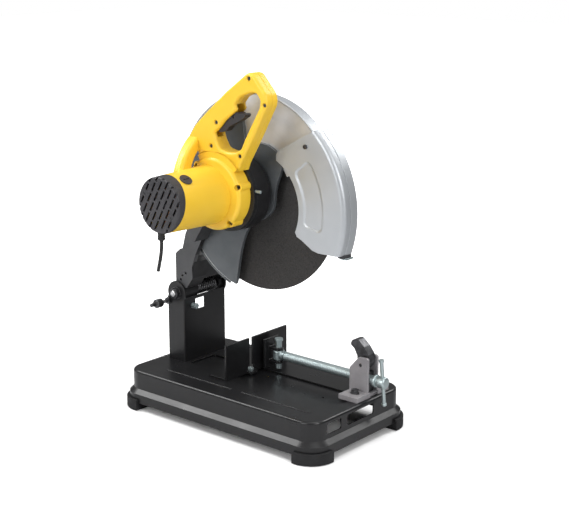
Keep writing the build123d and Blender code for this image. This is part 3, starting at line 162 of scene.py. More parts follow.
def smooth_loop(points, radii):
    """A closed outline with an arc at each corner, and extra points along its long sides."""
    corners = [Vector(point) for point in points]
    count = len(corners)
    bends = []
    for i, corner in enumerate(corners):
        bends += corner_arc(corners[i - 1], corner, corners[(i + 1) % count], radii[i])
    dense = []
    for i, p in enumerate(bends):
        q = bends[(i + 1) % len(bends)]
        gap = (q - p).length
        if gap < SAME_POINT:
            continue
        parts = max(1, int(gap / SIDE_STEP))
        dense += [p.lerp(q, s / parts) for s in range(parts)]
    return dense


def grown(loop, amount):
    """Move every point of a loop along its outward normal; a negative amount shrinks it."""
    area = sum(a.x * b.y - b.x * a.y for a, b in zip(loop, loop[1:] + loop[:1]))
    side = 1.0 if area > 0 else -1.0
    count = len(loop)
    out = []
    for i, p in enumerate(loop):
        along = (loop[(i + 1) % count] - loop[i - 1]).normalized()
        out.append(p + Vector((along.y, -along.x)) * side * amount)
    return out


def rim_levels(y_near, y_far, near_round, far_round, rounds):
    """The inset and Y of each ring round a plate's edge, from its near face to its far one."""
    levels = []
    for k in range(rounds + 1):
        turn = math.radians(90 * k / rounds)
        levels.append((near_round * (1 - math.sin(turn)), y_near + near_round * (1 - math.cos(turn))))
    for k in range(rounds + 1):
        turn = math.radians(90 * (1 - k / rounds))
        levels.append((far_round * (1 - math.sin(turn)), y_far - far_round * (1 - math.cos(turn))))
    return levels


def slab(name, outer, holes, y_near, y_far, near_round=0.0, far_round=0.0, rounds=1):
    """A plate in X and Z with holes, its rims rounded on both faces."""
    levels = rim_levels(y_near, y_far, near_round, far_round, rounds)
    verts = []
    faces = []
    first = []
    last = []
    for loop, sign in [(outer, -1.0)] + [(hole, 1.0) for hole in holes]:
        rings = []
        for inset, y in levels:
            ring = grown(loop, sign * inset)
            rings.append(range(len(verts), len(verts) + len(ring)))
            verts += [(p.x, y, p.y) for p in ring]
        first.append((rings[0], grown(loop, sign * levels[0][0])))
        last.append((rings[-1], grown(loop, sign * levels[-1][0])))
        for low, high in zip(rings, rings[1:]):
            for i in range(len(loop)):
                j = (i + 1) % len(loop)
                faces.append((low[i], low[j], high[j], high[i]))
    for caps, flip in ((first, False), (last, True)):
        index = [i for ring, _ in caps for i in ring]
        loops = [[(p.x, p.y, 0.0) for p in points] for _, points in caps]
        for a, b, c in tessellate_polygon(loops):
            tri = (index[a], index[b], index[c])
            faces.append(tuple(reversed(tri)) if flip else tri)
    return fix_normals(new_object(name, verts, faces))


def cut(obj, cutters):
    """Boolean away a list of objects, then remove them."""
    for cutter in cutters:
        add_modifier(obj, "BOOLEAN", operation="DIFFERENCE", solver="EXACT", object=cutter)
    bpy.context.view_layer.update()
    graph = bpy.context.evaluated_depsgraph_get()
    mesh = bpy.data.meshes.new_from_object(obj.evaluated_get(graph))
    obj.modifiers.clear()
    obj.data = mesh
    for cutter in cutters:
        bpy.data.objects.remove(cutter)
    obj.data.shade_smooth()
    return obj


# Materials --------------------------------------------------------------------------------------

WEAR_REACH = 1.6
WEAR_GRAIN = 900.0
WEAR_EDGE = (0.985, 0.90)
WEAR_SPECKLE = (0.42, 0.62)


class Finish:
    """Builds one procedural material, adding layers to a Principled shader."""

    def __init__(self, name, color, rough, metal=0.0, spec=0.5):
        self.material = bpy.data.materials.new(name)
        self.material.use_nodes = True
        self.tree = self.material.node_tree
        self.shader = self.tree.nodes["Principled BSDF"]
        self.shader.inputs["Base Color"].default_value = (*color, 1)
        self.shader.inputs["Roughness"].default_value = rough
        self.shader.inputs["Metallic"].default_value = metal
        self.shader.inputs["Specular IOR Level"].default_value = spec
        self.color = color
        self.place = self.node("ShaderNodeTexCoord").outputs["Object"]
        self.height = None
        self.tint = None
        self.gloss = None

    def node(self, kind, **settings):
        made = self.tree.nodes.new(kind)
        for key, value in settings.items():
            setattr(made, key, value)
        return made

    def link(self, a, b):
        self.tree.links.new(a, b)

    def combined(self, kind, operation, *values):
        """A maths node whose inputs are sockets or plain values."""
        made = self.node(kind, operation=operation)
        for i, value in enumerate(values):
            if isinstance(value, bpy.types.NodeSocket):
                self.link(value, made.inputs[i])
            else:
                made.inputs[i].default_value = value
        return made.outputs

    def stretched(self, stretch):
        if stretch is None:
            return self.place
        mapping = self.node("ShaderNodeMapping")
        mapping.inputs["Scale"].default_value = stretch
        self.link(self.place, mapping.inputs["Vector"])
        return mapping.outputs["Vector"]

    def noise(self, scale, detail=4.0, stretch=None, rough=0.6):
        tex = self.node("ShaderNodeTexNoise")
        tex.inputs["Scale"].default_value = scale
        tex.inputs["Detail"].default_value = detail
        tex.inputs["Roughness"].default_value = rough
        self.link(self.stretched(stretch), tex.inputs["Vector"])
        return tex.outputs["Fac"]

    def ramp(self, source, low, high, low_value=0.0, high_value=1.0):
        remap = self.node("ShaderNodeMapRange")
        remap.inputs["From Min"].default_value = low
        remap.inputs["From Max"].default_value = high
        remap.inputs["To Min"].default_value = low_value
        remap.inputs["To Max"].default_value = high_value
        self.link(source, remap.inputs["Value"])
        return remap.outputs["Result"]

    def blend(self, factor, other):
        """Mix another colour over the colour so far."""
        mix = self.node("ShaderNodeMix", data_type="RGBA")
        self.link(factor, mix.inputs["Factor"])
        if self.tint is None:
            mix.inputs["A"].default_value = (*self.color, 1)
        else:
            self.link(self.tint, mix.inputs["A"])
        mix.inputs["B"].default_value = (*other, 1)
        self.tint = mix.outputs["Result"]
        return self

    def vary_color(self, source, other, low=0.35, high=0.65):
        return self.blend(self.ramp(source, low, high), other)

    def vary_rough(self, source, low_rough, high_rough):
        self.gloss = self.ramp(source, 0.3, 0.7, low_rough, high_rough)
        return self

    def bump(self, source, distance):
        bump = self.node("ShaderNodeBump")
        bump.inputs["Strength"].default_value = 1.0
        bump.inputs["Distance"].default_value = distance * MM
        self.link(source, bump.inputs["Height"])
        if self.height is not None:
            self.link(self.height, bump.inputs["Normal"])
        self.height = bump.outputs["Normal"]
        return self

    def wear(self, color, amount, reach=WEAR_REACH):
        """A brighter colour along the edges, broken up by noise."""
        bevel = self.node("ShaderNodeBevel", samples=4)
        bevel.inputs["Radius"].default_value = reach * MM
        normal = self.node("ShaderNodeNewGeometry").outputs["Normal"]
        dot = self.combined("ShaderNodeVectorMath", "DOT_PRODUCT", bevel.outputs["Normal"], normal)
        edge = self.ramp(dot["Value"], *WEAR_EDGE)
        speckle = self.ramp(self.noise(WEAR_GRAIN, 3.0), *WEAR_SPECKLE)
        both = self.combined("ShaderNodeMath", "MULTIPLY", edge, speckle)
        scaled = self.combined("ShaderNodeMath", "MULTIPLY", both["Value"], amount)
        return self.blend(scaled["Value"], color)

    def done(self):
        if self.tint is not None:
            self.link(self.tint, self.shader.inputs["Base Color"])
        if self.gloss is not None:
            self.link(self.gloss, self.shader.inputs["Roughness"])
        if self.height is not None:
            self.link(self.height, self.shader.inputs["Normal"])
        return self.material


def black_paint():
    f = Finish("black_paint", (0.0065, 0.0065, 0.007), 0.30, spec=0.36)
    f.vary_rough(f.noise(22.0, 3.0), 0.27, 0.34)
    f.bump(f.noise(900.0, 2.0), 0.012)
    f.vary_color(f.noise(9.0, 3.0), (0.009, 0.009, 0.010))
    return f.wear((0.05, 0.05, 0.052), 0.3).done()


def black_casting():
    f = Finish("black_casting", (0.006, 0.006, 0.007), 0.45, spec=0.38)
    f.vary_rough(f.noise(60.0, 5.0), 0.38, 0.55)
    f.bump(f.noise(700.0, 4.0), 0.08)
    f.vary_color(f.noise(14.0, 4.0), (0.011, 0.011, 0.012))
    return f.wear((0.06, 0.06, 0.063), 0.4).done()


# A lit copy of black casting: painted light for the swing arm's near faces, lighter because that side faces the
# lamps.
def lit_black_casting():
    f = Finish("lit_black_casting", (0.045, 0.046, 0.049), 0.5, spec=0.4)
    f.vary_rough(f.noise(60.0, 5.0), 0.42, 0.58)
    f.bump(f.noise(700.0, 4.0), 0.06)
    f.vary_color(f.noise(14.0, 4.0), (0.060, 0.061, 0.064))
    return f.wear((0.13, 0.13, 0.135), 0.3).done()


def foot_rubber():
    f = Finish("foot_rubber", (0.011, 0.011, 0.012), 0.72, spec=0.25)
    f.vary_rough(f.noise(120.0, 4.0), 0.6, 0.85)
    f.bump(f.noise(1600.0, 2.0), 0.05)
    return f.vary_color(f.noise(30.0, 4.0), (0.019, 0.019, 0.020)).done()


def zinc():
    f = Finish("zinc_steel", (0.36, 0.425, 0.435), 0.40, metal=0.9)
    f.vary_rough(f.noise(60.0, 3.0), 0.36, 0.44)
    f.vary_color(f.noise(14.0, 2.0), (0.42, 0.485, 0.49))
    return f.bump(f.noise(900.0, 2.0), 0.006).done()


def dark_steel():
    f = Finish("dark_steel", (0.055, 0.055, 0.058), 0.38, metal=0.9)
    f.vary_rough(f.noise(150.0, 4.0), 0.28, 0.5)
    f.vary_color(f.noise(80.0, 4.0), (0.10, 0.10, 0.105))
    f.bump(f.noise(900.0, 3.0), 0.04)
    return f.wear((0.3, 0.3, 0.3), 0.5, WEAR_REACH / 2).done()


def bright_steel():
    f = Finish("bright_steel", (0.62, 0.62, 0.62), 0.24, metal=1.0)
    f.vary_rough(f.noise(200.0, 4.0, stretch=(1, 8, 1)), 0.16, 0.36)
    return f.vary_color(f.noise(60.0), (0.48, 0.48, 0.49)).done()


def spring_steel():
    f = Finish("spring_steel", (0.10, 0.10, 0.105), 0.24, metal=0.85)
    f.vary_rough(f.noise(300.0, 4.0), 0.2, 0.34)
    return f.vary_color(f.noise(120.0), (0.15, 0.15, 0.155)).done()


def yellow_plastic():
    f = Finish("yellow_plastic", (0.78, 0.49, 0.030), 0.40, spec=0.42)
    f.shader.inputs["Subsurface Weight"].default_value = 0.05
    f.shader.inputs["Subsurface Radius"].default_value = (4.0 * MM, 2.0 * MM, 0.5 * MM)
    f.vary_rough(f.noise(70.0, 5.0), 0.33, 0.45)
    f.bump(f.noise(2600.0, 2.0), 0.025)
    return f.vary_color(f.noise(12.0, 3.0), (0.81, 0.52, 0.038), 0.3, 0.7).done()


def dark_plastic():
    f = Finish("dark_plastic", (0.030, 0.029, 0.032), 0.46, spec=0.38)
    f.vary_rough(f.noise(90.0, 5.0), 0.38, 0.56)
    f.bump(f.noise(1800.0, 2.0), 0.05)
    f.vary_color(f.noise(22.0, 4.0), (0.043, 0.041, 0.045))
    return f.wear((0.10, 0.10, 0.105), 0.3).done()


def cord_rubber():
    f = Finish("cord_rubber", (0.014, 0.014, 0.014), 0.5, spec=0.35)
    f.vary_rough(f.noise(160.0, 4.0), 0.42, 0.62)
    return f.bump(f.noise(1500.0, 2.0), 0.04).done()


def turned_place(f, centre):
    """A place made of the radius and the angle about the Y axis through a centre, and the angle alone."""
    offset = (centre.x * MM, 0, centre.z * MM)
    shifted = f.combined("ShaderNodeVectorMath", "SUBTRACT", f.place, offset)
    split = f.node("ShaderNodeSeparateXYZ")
    f.link(shifted["Vector"], split.inputs["Vector"])
    angle = f.combined("ShaderNodeMath", "ARCTAN2", split.outputs["Z"], split.outputs["X"])["Value"]
    flat = f.node("ShaderNodeCombineXYZ")
    f.link(split.outputs["X"], flat.inputs["X"])
    f.link(split.outputs["Z"], flat.inputs["Z"])
    radius = f.combined("ShaderNodeVectorMath", "LENGTH", flat.outputs["Vector"])["Value"]
    place = f.node("ShaderNodeCombineXYZ")
    f.link(radius, place.inputs["X"])
    f.link(angle, place.inputs["Y"])
    return place.outputs["Vector"], angle


def spun_aluminium():
    """Fine turned rings, with broad bright fans painted in as a painted reflection, of the kind a spun face shows.
    """
    f = Finish("spun_aluminium", (0.50, 0.505, 0.51), 0.36, metal=0.55, spec=0.4)
    f.place, angle = turned_place(f, wheel_at)
    rings = f.noise(1.0, 6.0, stretch=(2600.0, 6.0, 1.0))
    f.vary_rough(rings, 0.32, 0.42)
    f.bump(rings, 0.012)
    # Painted reflection: the colour lightens in four broad fans round the wheel centre.
    turn = f.combined("ShaderNodeMath", "MULTIPLY_ADD", angle, 4.0, 1.1)
    painted_reflection_fans = f.combined("ShaderNodeMath", "SINE", turn["Value"])
    f.vary_color(painted_reflection_fans["Value"], (0.80, 0.80, 0.81), -0.2, 1.0)
    return f.vary_color(f.noise(1.0, 3.0, stretch=(30.0, 1.5, 1.0)), (0.60, 0.60, 0.60), 0.4, 0.8).done()


def guard_silver():
    f = Finish("guard_silver", (0.40, 0.42, 0.44), 0.42, metal=0.55, spec=0.45)
    f.vary_rough(f.noise(60.0, 4.0), 0.38, 0.46)
    f.vary_color(f.noise(8.0, 3.0), (0.45, 0.47, 0.49))
    f.bump(f.noise(1500.0, 3.0), 0.015)
    return f.wear((0.75, 0.76, 0.77), 0.3).done()


def guard_plate_grey():
    f = Finish("guard_plate_grey", (0.075, 0.083, 0.089), 0.40, metal=0.4, spec=0.45)
    f.vary_rough(f.noise(60.0, 5.0), 0.36, 0.46)
    f.vary_color(f.noise(12.0, 4.0), (0.100, 0.109, 0.116))
    f.bump(f.noise(900.0, 4.0), 0.03)
    return f.wear((0.36, 0.37, 0.38), 0.3).done()


def vise_grey():
    f = Finish("vise_grey", (0.215, 0.205, 0.215), 0.52, spec=0.4)
    f.vary_rough(f.noise(80.0, 5.0), 0.42, 0.62)
    f.vary_color(f.noise(26.0, 5.0), (0.27, 0.26, 0.27))
    f.bump(f.noise(650.0, 5.0), 0.2)
    return f.wear((0.45, 0.45, 0.46), 0.5).done()


def wheel_grit():
    """Bonded grit: coarse grains and a faint woven net."""
    f = Finish("wheel_grit", (0.020, 0.019, 0.019), 0.82, spec=0.35)
    grains = f.node("ShaderNodeTexVoronoi")
    grains.inputs["Scale"].default_value = 900.0
    f.link(f.place, grains.inputs["Vector"])
    f.bump(grains.outputs["Distance"], 0.35)
    f.bump(f.noise(260.0, 5.0), 0.4)
    net = f.node("ShaderNodeTexVoronoi", feature="DISTANCE_TO_EDGE")
    net.inputs["Scale"].default_value = 240.0
    net.inputs["Randomness"].default_value = 0.15
    f.link(f.place, net.inputs["Vector"])
    f.vary_color(f.noise(300.0, 6.0, rough=0.75), (0.050, 0.047, 0.045), 0.46, 0.66)
    f.vary_color(f.ramp(net.outputs["Distance"], 0.14, 0.0), (0.036, 0.034, 0.033), 0.2, 1.0)
    return f.vary_rough(f.noise(500.0, 4.0), 0.62, 0.95).done()


def copper(name, color):
    f = Finish(name, color, 0.34, metal=0.9)
    f.vary_rough(f.noise(200.0), 0.25, 0.45)
    return f.bump(f.noise(900.0, 2.0, stretch=(1, 0.2, 8)), 0.1).done()


def core_laminate():
    f = Finish("core_laminate", (0.22, 0.22, 0.235), 0.4, metal=0.9)
    return f.bump(f.noise(1200.0, 1.0, stretch=(0.02, 1, 0.02)), 0.15).done()


def plain_grain(name, color, rough):
    f = Finish(name, color, rough)
    f.vary_rough(f.noise(200.0), rough - 0.1, rough + 0.1)
    return f.bump(f.noise(1200.0), 0.05).done()


MATERIALS = {
    "black_paint": black_paint(),
    "black_casting": black_casting(),
    "lit_black_casting": lit_black_casting(),
    "foot_rubber": foot_rubber(),
    "zinc_steel": zinc(),
    "dark_steel": dark_steel(),
    "bright_steel": bright_steel(),
    "spring_steel": spring_steel(),
    "yellow_plastic": yellow_plastic(),
    "dark_plastic": dark_plastic(),
    "cord_rubber": cord_rubber(),
    "spun_aluminium": spun_aluminium(),
    "guard_silver": guard_silver(),
    "guard_plate_grey": guard_plate_grey(),
    "vise_grey": vise_grey(),
    "wheel_grit": wheel_grit(),
    "copper_coil": copper("copper_coil", (0.55, 0.24, 0.10)),
    "copper_bars": copper("copper_bars", (0.70, 0.34, 0.16)),
    "core_laminate": core_laminate(),
    "carbon": plain_grain("carbon", (0.02, 0.02, 0.02), 0.6),
    "bronze": plain_grain("bronze", (0.42, 0.26, 0.09), 0.4),
}


def dress(obj, slot_name):
    obj.data.materials.clear()
    obj.data.materials.append(MATERIALS[slot_name])


def piece(obj, body, slot_name, *stands_for):
    """Finish a new piece: its material, the body it rides on and the CAD nodes it stands for."""
    dress(obj, slot_name)
    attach(obj, body)
    if stands_for:
        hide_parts(*stands_for)


# Carried-over CAD nodes -------------------------------------------------------------------------

PLAIN_EDGE = 0.3
EDGE = {
    "base_shell": 0.5, "pivot_column": 0.6, "swing_arm": 2.2, "gear_housing": 1.2, "vise_bracket": 1.4,
    "release_lever": 1.6, "trigger": 1.4, "fence_plate": 0.5, "vise_jaw": 0.8, "rubber_feet": 1.0,
    "guard_mount_plate": 2.4, "front_guard": 0.75, "handle_brace": 1.0, "end_cap": 0.5,
}
for entry in frame["record"]["subparts"]:
    part = nodes[entry["node"]]
    dress(part, entry["material_slot"])
    part.data.shade_smooth()
    soften(part, EDGE.get(entry["node"], PLAIN_EDGE))


# Second finishes, painted light and painted shade on some of a node's faces, chosen by where each face's centre is
# ---

LIT_CHEEK_Y = -28.5
STOP_BOLT_Z = 150.0
RIM_RADIUS = 183.5
# The near side of the rim's lower rear end, painted the mount plate's dark grey as painted shade.
SHADED_RIM_CORNER = Vector((-60.0, -8.0, 335.0))
CLIP_X = 186.0
CLIP_BAND = (336.2, 341.6)


# The swing arm's near faces: painted light, lighter because this side faces the key light.
def painted_lit_cheek(at):
    return at.y < LIT_CHEEK_Y


def stop_bolt(at):
    return at.z > STOP_BOLT_Z and at.y < 0.0


def guard_rim(at):
    return math.hypot(at.x - wheel_at.x, at.z - wheel_at.z) > RIM_RADIUS


# Painted shade: the near side of the rim's lower rear end.
def painted_shade_rim(at):
    return at.x < SHADED_RIM_CORNER.x and at.y < SHADED_RIM_CORNER.y and at.z < SHADED_RIM_CORNER.z


def clip_plastic(at):
    return CLIP_BAND[0] < at.z < CLIP_BAND[1] or at.x < CLIP_X


def repaint(node, slot_name, where):
    mesh = nodes[node].data
    mesh.materials.append(MATERIALS[slot_name])
    for face in mesh.polygons:
        if where(face.center / MM):
            face.material_index = len(mesh.materials) - 1


# Painted light: the swing arm's near faces in the lighter casting grey.
repaint("swing_arm", "lit_black_casting", painted_lit_cheek)
repaint("frame_bolts", "zinc_steel", stop_bolt)
repaint("fixed_guard", "guard_silver", guard_rim)
# Painted shade: the rim's lower rear end in dark grey.
repaint("fixed_guard", "guard_plate_grey", painted_shade_rim)
repaint("guard_clamp", "dark_plastic", clip_plastic)


# Handle shells ----------------------------------------------------------------------------------

LOOP = [
    (-97, 512), (-92, 532), (-76, 554), (-47, 580), (0, 619), (50, 655), (62, 653), (91, 621),
    (95, 604), (59.5, 540), (32, 494), (26, 478), (-64, 478), (-70, 508),
]
LOOP_RADII = [9, 30, 60, 60, 60, 14, 14, 20, 20, 80, 40, 6, 6, 8]
WINDOW = [
    (40, 615), (56, 621), (69, 621), (78, 609), (76, 597), (43, 541), (33, 521), (20, 514), (2, 513),
    (-16, 517), (-25, 532), (-29, 544), (-18, 553), (-4, 568), (12, 580), (24, 588), (20, 598), (30, 610),
]
WINDOW_RADII = [14, 12, 8, 8, 10, 60, 12, 18, 30, 12, 10, 6, 14, 30, 14, 5, 5, 14]
TRIGGER_ROOM = [(-43, 538), (-8, 598), (46, 598), (50, 566), (-6, 534)]
TRIGGER_ROOM_RADII = [3] * len(TRIGGER_ROOM)
TRIGGER_ROOM_Y = (-85.5, -68.5)
TRIGGER_ROOM_ROUND = 0.2
HANDLE_SCREWS = [(53, 645), (88, 602), (31, 509), (-37, 520), (-87, 523), (-24, 563)]
COLLAR = (-31.5, 435.0)
SADDLE_RADIUS = 75.3
SADDLE_Y = (-100, -50)
NEAR_FACE = -93.0
FAR_FACE = -61.0
SEAM_Y = -77.0
SEAM_GAP = 0.15
GRIP_ROUND = 5.0
SEAM_ROUND = 0.7
SCREW_RECESS = [(ON_AXIS, -94), (5.0, -94), (5.0, -92.4), (3.5, -91.2), (3.5, -88.4), (ON_AXIS, -88.4)]


def handle_shell(name, y_near, y_far, near_round, far_round):
    outer = smooth_loop(LOOP, LOOP_RADII)
    window = smooth_loop(WINDOW, WINDOW_RADII)
    shell = slab(name, outer, [window], y_near, y_far, near_round, far_round, rounds=6)
    room_outline = smooth_loop(TRIGGER_ROOM, TRIGGER_ROOM_RADII)
    room = slab("cutter", room_outline, [], *TRIGGER_ROOM_Y, TRIGGER_ROOM_ROUND, TRIGGER_ROOM_ROUND)
    cutters = [cylinder_y(*COLLAR, SADDLE_RADIUS, *SADDLE_Y, 192), room]
    cutters += [revolve_y("cutter", SCREW_RECESS, x, z, 32) for x, z in HANDLE_SCREWS]
    even_normals(cut(shell, cutters))
    return shell


near_shell = handle_shell("handle_shell_near", NEAR_FACE, SEAM_Y - SEAM_GAP, GRIP_ROUND, SEAM_ROUND)
far_shell = handle_shell("handle_shell_far", SEAM_Y + SEAM_GAP, FAR_FACE, SEAM_ROUND, GRIP_ROUND)
piece(near_shell, "head", "yellow_plastic", "handle_near_shell")
piece(far_shell, "head", "yellow_plastic", "handle_far_shell")


# Threaded vise screw ----------------------------------------------------------------------------

SCREW_SIDES = 40
SCREW_AXIS = (48.0, 105.0)
SCREW_LEAD = 4.0
THREAD_RADIUS = 8.95
THREAD_DEPTH = 0.3
ROD_X = (18.0, 222.0)
THREAD_X = (20.0, 220.0)
THREAD_STEP = 0.5
SCREW_TIP = [(8.0, 4.9), (15.9, 4.9), (16.0, 7.4), (17.4, 8.9)]
SCREW_HEAD = [
    (225.9, 8.95), (226.0, 10.9), (226.7, 11.5), (231.3, 11.5), (232.0, 10.9), (232.1, 8.9), (235.9, 8.9),
    (236.0, 9.6), (237.2, 10.8), (239.0, 11.0), (249.0, 11.0), (250.6, 10.3), (251.7, 8.8), (252.0, 7.0),
]
SHARP_SCREW_ANGLE = 50


def screw_ring(x, radius, depth=0.0):
    """One ring of the rod at x; its radius dips by depth once a turn, and the dip winds along x."""
    points = []
    for k in range(SCREW_SIDES):
        angle = 2 * math.pi * k / SCREW_SIDES
        phase = (x / SCREW_LEAD - k / SCREW_SIDES) % 1.0
        r = radius - depth * (0.5 - 0.5 * math.cos(2 * math.pi * phase))
        points.append((x, SCREW_AXIS[0] + r * math.cos(angle), SCREW_AXIS[1] + r * math.sin(angle)))
    return points


def vise_screw():
    rings = [screw_ring(x, radius) for x, radius in SCREW_TIP]
    for i in range(round((ROD_X[1] - ROD_X[0]) / THREAD_STEP)):
        x = ROD_X[0] + THREAD_STEP * i
        threaded = THREAD_X[0] < x < THREAD_X[1]
        rings.append(screw_ring(x, THREAD_RADIUS, THREAD_DEPTH if threaded else 0.0))
    rings += [screw_ring(x, radius) for x, radius in SCREW_HEAD]
    screw = fix_normals(loft("threaded_screw", rings, capped=True))
    add_modifier(screw, "EDGE_SPLIT", split_angle=math.radians(SHARP_SCREW_ANGLE))
    return screw


piece(vise_screw(), "screw", "zinc_steel", "vise_screw")


# Moving front guard -----------------------------------------------------------------------------

RIM_CENTRE = (10.5, 410.0)
GUARD_NEAR = -22.0
GUARD_FAR = 17.6
GUARD_SHEET = 1.6
PLATE_RADII = (95.3, 187.4)
PLATE_STEPS = 50
NEAR_BEND = 9.0
FAR_BEND = 4.0
FAR_BEND_INSIDE = 2.2
FAR_BEND_RADIUS = 193.0
FAR_LIP_RADIUS = 120.0
RIM_STEP = [(196.4, -4.9), (195.5, -4.3), (195.5, -3.7), (197.0, -3.1)]
SWEEP_START = -42.0
SWEEP = 118.0
SWEEP_STEPS = 150
TOP_TRIM = [(54, 470), (54, 505), (58, 513), (150, 561.5), (150, 640), (-60, 640), (-60, 470)]
FOOT_TRIM = [
    (60, 371.5), (97.7, 371.5), (101.5, 364), (112.5, 359), (136.5, 344.5), (150, 341.5), (240, 341.5),
    (240, 200), (60, 200),
]
TRIM_MARGIN = 5
GUARD_HOLE = (120.5, 526.4)
GUARD_HOLE_RADIUS = 2.5
SHARP_GUARD_ANGLE = 38
RECESS_RADII = (108.0, 148.5)
RECESS_SPAN = (-12.5, 38.5)
RECESS_CORNER = 10.0
RECESS_WALL = 2.4
RECESS_DEPTH = 1.7


def recess_depth(r, angle):
    """How far the near plate is pressed in at a radius and angle: a kidney with a soft wall."""
    low, high = RECESS_RADII
    start, stop = RECESS_SPAN
    along = abs(angle - math.radians((start + stop) / 2)) * r - math.radians(stop - start) / 2 * r
    across = abs(r - (low + high) / 2) - (high - low) / 2
    dx = along + RECESS_CORNER
    dy = across + RECESS_CORNER
    away = math.hypot(max(dx, 0.0), max(dy, 0.0)) + min(max(dx, dy), 0.0) - RECESS_CORNER
    t = min(1.0, max(0.0, 0.5 - away / RECESS_WALL))
    return RECESS_DEPTH * t * t * (3 - 2 * t)


def guard_profile():
    """The sheet's section as (radius, y, share of the pressed recess), out over the rim and back."""
    inner, outer = PLATE_RADII
    plate = [inner + (outer - inner) * i / PLATE_STEPS for i in range(PLATE_STEPS)]
    bend_y = GUARD_NEAR + NEAR_BEND
    far_bend_y = GUARD_FAR - FAR_BEND
    rim = arc(outer, bend_y, NEAR_BEND, -90, 0, 9)
    rim += RIM_STEP
    rim += arc(FAR_BEND_RADIUS, far_bend_y, FAR_BEND, 0, 90, 5)
    rim += [(FAR_LIP_RADIUS, GUARD_FAR), (FAR_LIP_RADIUS, GUARD_FAR - GUARD_SHEET)]
    rim += arc(FAR_BEND_RADIUS, far_bend_y, FAR_BEND_INSIDE, 90, 0, 5)
    rim += arc(outer, bend_y, NEAR_BEND - GUARD_SHEET, 0, -90, 9)
    outside = [(r, GUARD_NEAR, 1.0) for r in plate]
    inside = [(r, GUARD_NEAR + GUARD_SHEET, 1.0) for r in reversed(plate)]
    return outside + [(r, y, 0.0) for r, y in rim] + inside


def moving_guard():
    profile = guard_profile()
    rings = []
    for i in range(SWEEP_STEPS + 1):
        angle = math.radians(SWEEP_START + SWEEP * i / SWEEP_STEPS)
        rings.append([
            (RIM_CENTRE[0] + r * math.cos(angle), y + pressed * recess_depth(r, angle),
             RIM_CENTRE[1] + r * math.sin(angle))
            for r, y, pressed in profile
        ])
    shell = fix_normals(loft("guard_shell", rings, capped=True))
    y_near = GUARD_NEAR - TRIM_MARGIN
    y_far = GUARD_FAR + TRIM_MARGIN
    cutters = [slab("cutter", [Vector(q) for q in trim], [], y_near, y_far) for trim in (TOP_TRIM, FOOT_TRIM)]
    cutters.append(cylinder_y(*GUARD_HOLE, GUARD_HOLE_RADIUS, y_near, GUARD_NEAR + TRIM_MARGIN, 24))
    cut(shell, cutters)
    add_modifier(shell, "EDGE_SPLIT", split_angle=math.radians(SHARP_GUARD_ANGLE))
    return shell


LINK_RADII = (70.0, 152.0)
LINK_SPAN = (-12, 34)
LINK_Y = (16.05, 17.55)
LINK_ROUND = 0.4
RING_SECTION = [
    (62.1, 16.3), (62.4, 16.0), (75.7, 16.0), (76.0, 16.3), (76.0, 17.3), (75.7, 17.6), (62.4, 17.6),
    (62.1, 17.3),
]


def guard_link():
    """The far side's arm, from the rim to the ring."""
    start, stop = LINK_SPAN
    outline = arc(wheel_at.x, wheel_at.z, LINK_RADII[1], start, stop, 24)
    outline += arc(wheel_at.x, wheel_at.z, LINK_RADII[0], stop, start, 16)
    return slab("guard_link", [Vector(q) for q in outline], [], *LINK_Y, LINK_ROUND, LINK_ROUND, rounds=2)


def guard_ring():
    """The ring that turns on the collar."""
    return revolve_y("guard_ring", RING_SECTION, wheel_at.x, wheel_at.z, 128)


piece(moving_guard(), "moving_guard", "guard_silver", "front_guard")
piece(guard_link(), "moving_guard", "guard_silver")
piece(guard_ring(), "moving_guard", "guard_silver")


# Stage: the camera, the lights and the floor's shades are in metres -----------------------------

CAMERA_AT = Vector((1.5247, -1.7394, 0.9007))
CAMERA_BACK = Vector((0.6252, -0.7398, 0.2487))
CAMERA_LENS = 82.2
CAMERA_SENSOR = 36.0
FLOOR_HALF_MM = 9000
FLOOR_TOP_MM = -1
FLOOR_SHADE = {
    "lit": (0.68, 0.68, 0.69),
    "behind": (0.24, 0.24, 0.245),
    "seen": (0.93, 0.93, 0.93),
}
BEHIND_FROM = -0.1
BEHIND_TO = 0.5
GLOW_FROM = 0.25
GLOW_TO = 1.3
GLOW = 0.9
SKY = {"From Min": 0.15, "From Max": 0.95, "To Min": 0.10, "To Max": 0.80}
LIGHTS = [
    ("key", (-1.75, -0.75, 2.15), (0, 0, 0.3), 1.3, 46),
    ("front", (-0.3, -2.7, 1.4), (0, 0, 0.35), 1.5, 40),
    ("side", (2.5, -0.6, 1.5), (0, 0, 0.3), 1.1, 34),
    ("top", (0.5, 0.2, 2.7), (0, 0, 0.2), 1.4, 18),
    ("rim", (0.65, 2.0, 1.85), (0, 0, 0.3), 1.1, 24),
]


def floor_finish():
    """Pale to the camera and glowing with distance; to other rays duller, most of all behind the saw."""
    pale = Finish("floor_pale", FLOOR_SHADE["lit"], 0.75, spec=0.1)
    seen = pale.node("ShaderNodeLightPath").outputs["Is Camera Ray"]
    split = pale.node("ShaderNodeSeparateXYZ")
    pale.link(pale.place, split.inputs["Vector"])
    pale.vary_color(split.outputs["Y"], FLOOR_SHADE["behind"], BEHIND_FROM, BEHIND_TO)
    pale.vary_rough(pale.noise(3.0), 0.7, 0.8)
    pale.vary_color(seen, FLOOR_SHADE["seen"], 0.0, 1.0)
    away = pale.combined("ShaderNodeVectorMath", "LENGTH", pale.place)["Value"]
    glow = pale.ramp(away, GLOW_FROM, GLOW_TO, 0.0, GLOW)
    lift = pale.combined("ShaderNodeMath", "MULTIPLY", glow, seen)
    pale.shader.inputs["Emission Color"].default_value = (1, 1, 1, 1)
    pale.link(lift["Value"], pale.shader.inputs["Emission Strength"])
    return pale.done()


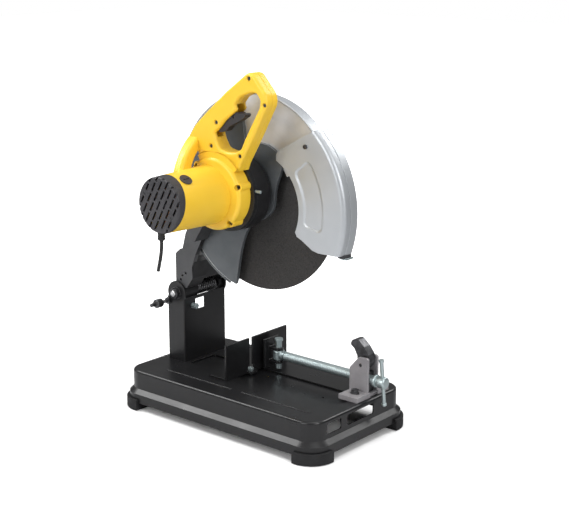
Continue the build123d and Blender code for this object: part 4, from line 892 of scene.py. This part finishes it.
def stage_floor():
    signs = [(-1, -1), (1, -1), (1, 1), (-1, 1)]
    corners = [(FLOOR_HALF_MM * x, FLOOR_HALF_MM * y, FLOOR_TOP_MM) for x, y in signs]
    floor = new_object("floor", corners, [(0, 1, 2, 3)], smooth=False)
    floor.data.materials.append(floor_finish())


def sky():
    """White to the camera; to other rays a grey that brightens upward."""
    world = bpy.data.worlds.new("studio")
    bpy.context.scene.world = world
    world.use_nodes = True
    tree = world.node_tree
    back = tree.nodes["Background"]
    path = tree.nodes.new("ShaderNodeLightPath")
    place = tree.nodes.new("ShaderNodeTexCoord")
    split = tree.nodes.new("ShaderNodeSeparateXYZ")
    tree.links.new(place.outputs["Generated"], split.inputs["Vector"])
    height = tree.nodes.new("ShaderNodeMapRange")
    tree.links.new(split.outputs["Z"], height.inputs["Value"])
    for key, value in SKY.items():
        height.inputs[key].default_value = value
    choose = tree.nodes.new("ShaderNodeMix")
    tree.links.new(path.outputs["Is Camera Ray"], choose.inputs["Factor"])
    tree.links.new(height.outputs["Result"], choose.inputs["A"])
    choose.inputs["B"].default_value = 1.0
    tree.links.new(choose.outputs["Result"], back.inputs["Strength"])
    back.inputs["Color"].default_value = (1.0, 1.0, 1.0, 1)


def soft_light(name, where, target, size, power):
    data = bpy.data.lights.new(name, "AREA")
    data.shape = "DISK"
    data.size = size
    data.energy = power
    light = bpy.data.objects.new(name, data)
    light.location = where
    aim = Vector(target) - Vector(where)
    light.rotation_euler = aim.to_track_quat("-Z", "Y").to_euler()
    bpy.context.scene.collection.objects.link(light)


def camera():
    data = bpy.data.cameras.new("view")
    data.sensor_width = CAMERA_SENSOR
    data.lens = CAMERA_LENS
    data.clip_start = 0.05
    obj = bpy.data.objects.new("view", data)
    obj.location = CAMERA_AT
    obj.rotation_euler = (-CAMERA_BACK).to_track_quat("-Z", "Y").to_euler()
    bpy.context.scene.collection.objects.link(obj)
    bpy.context.scene.camera = obj


stage_floor()
sky()
for light in LIGHTS:
    soft_light(*light)
camera()
bpy.context.scene.view_settings.view_transform = "Standard"
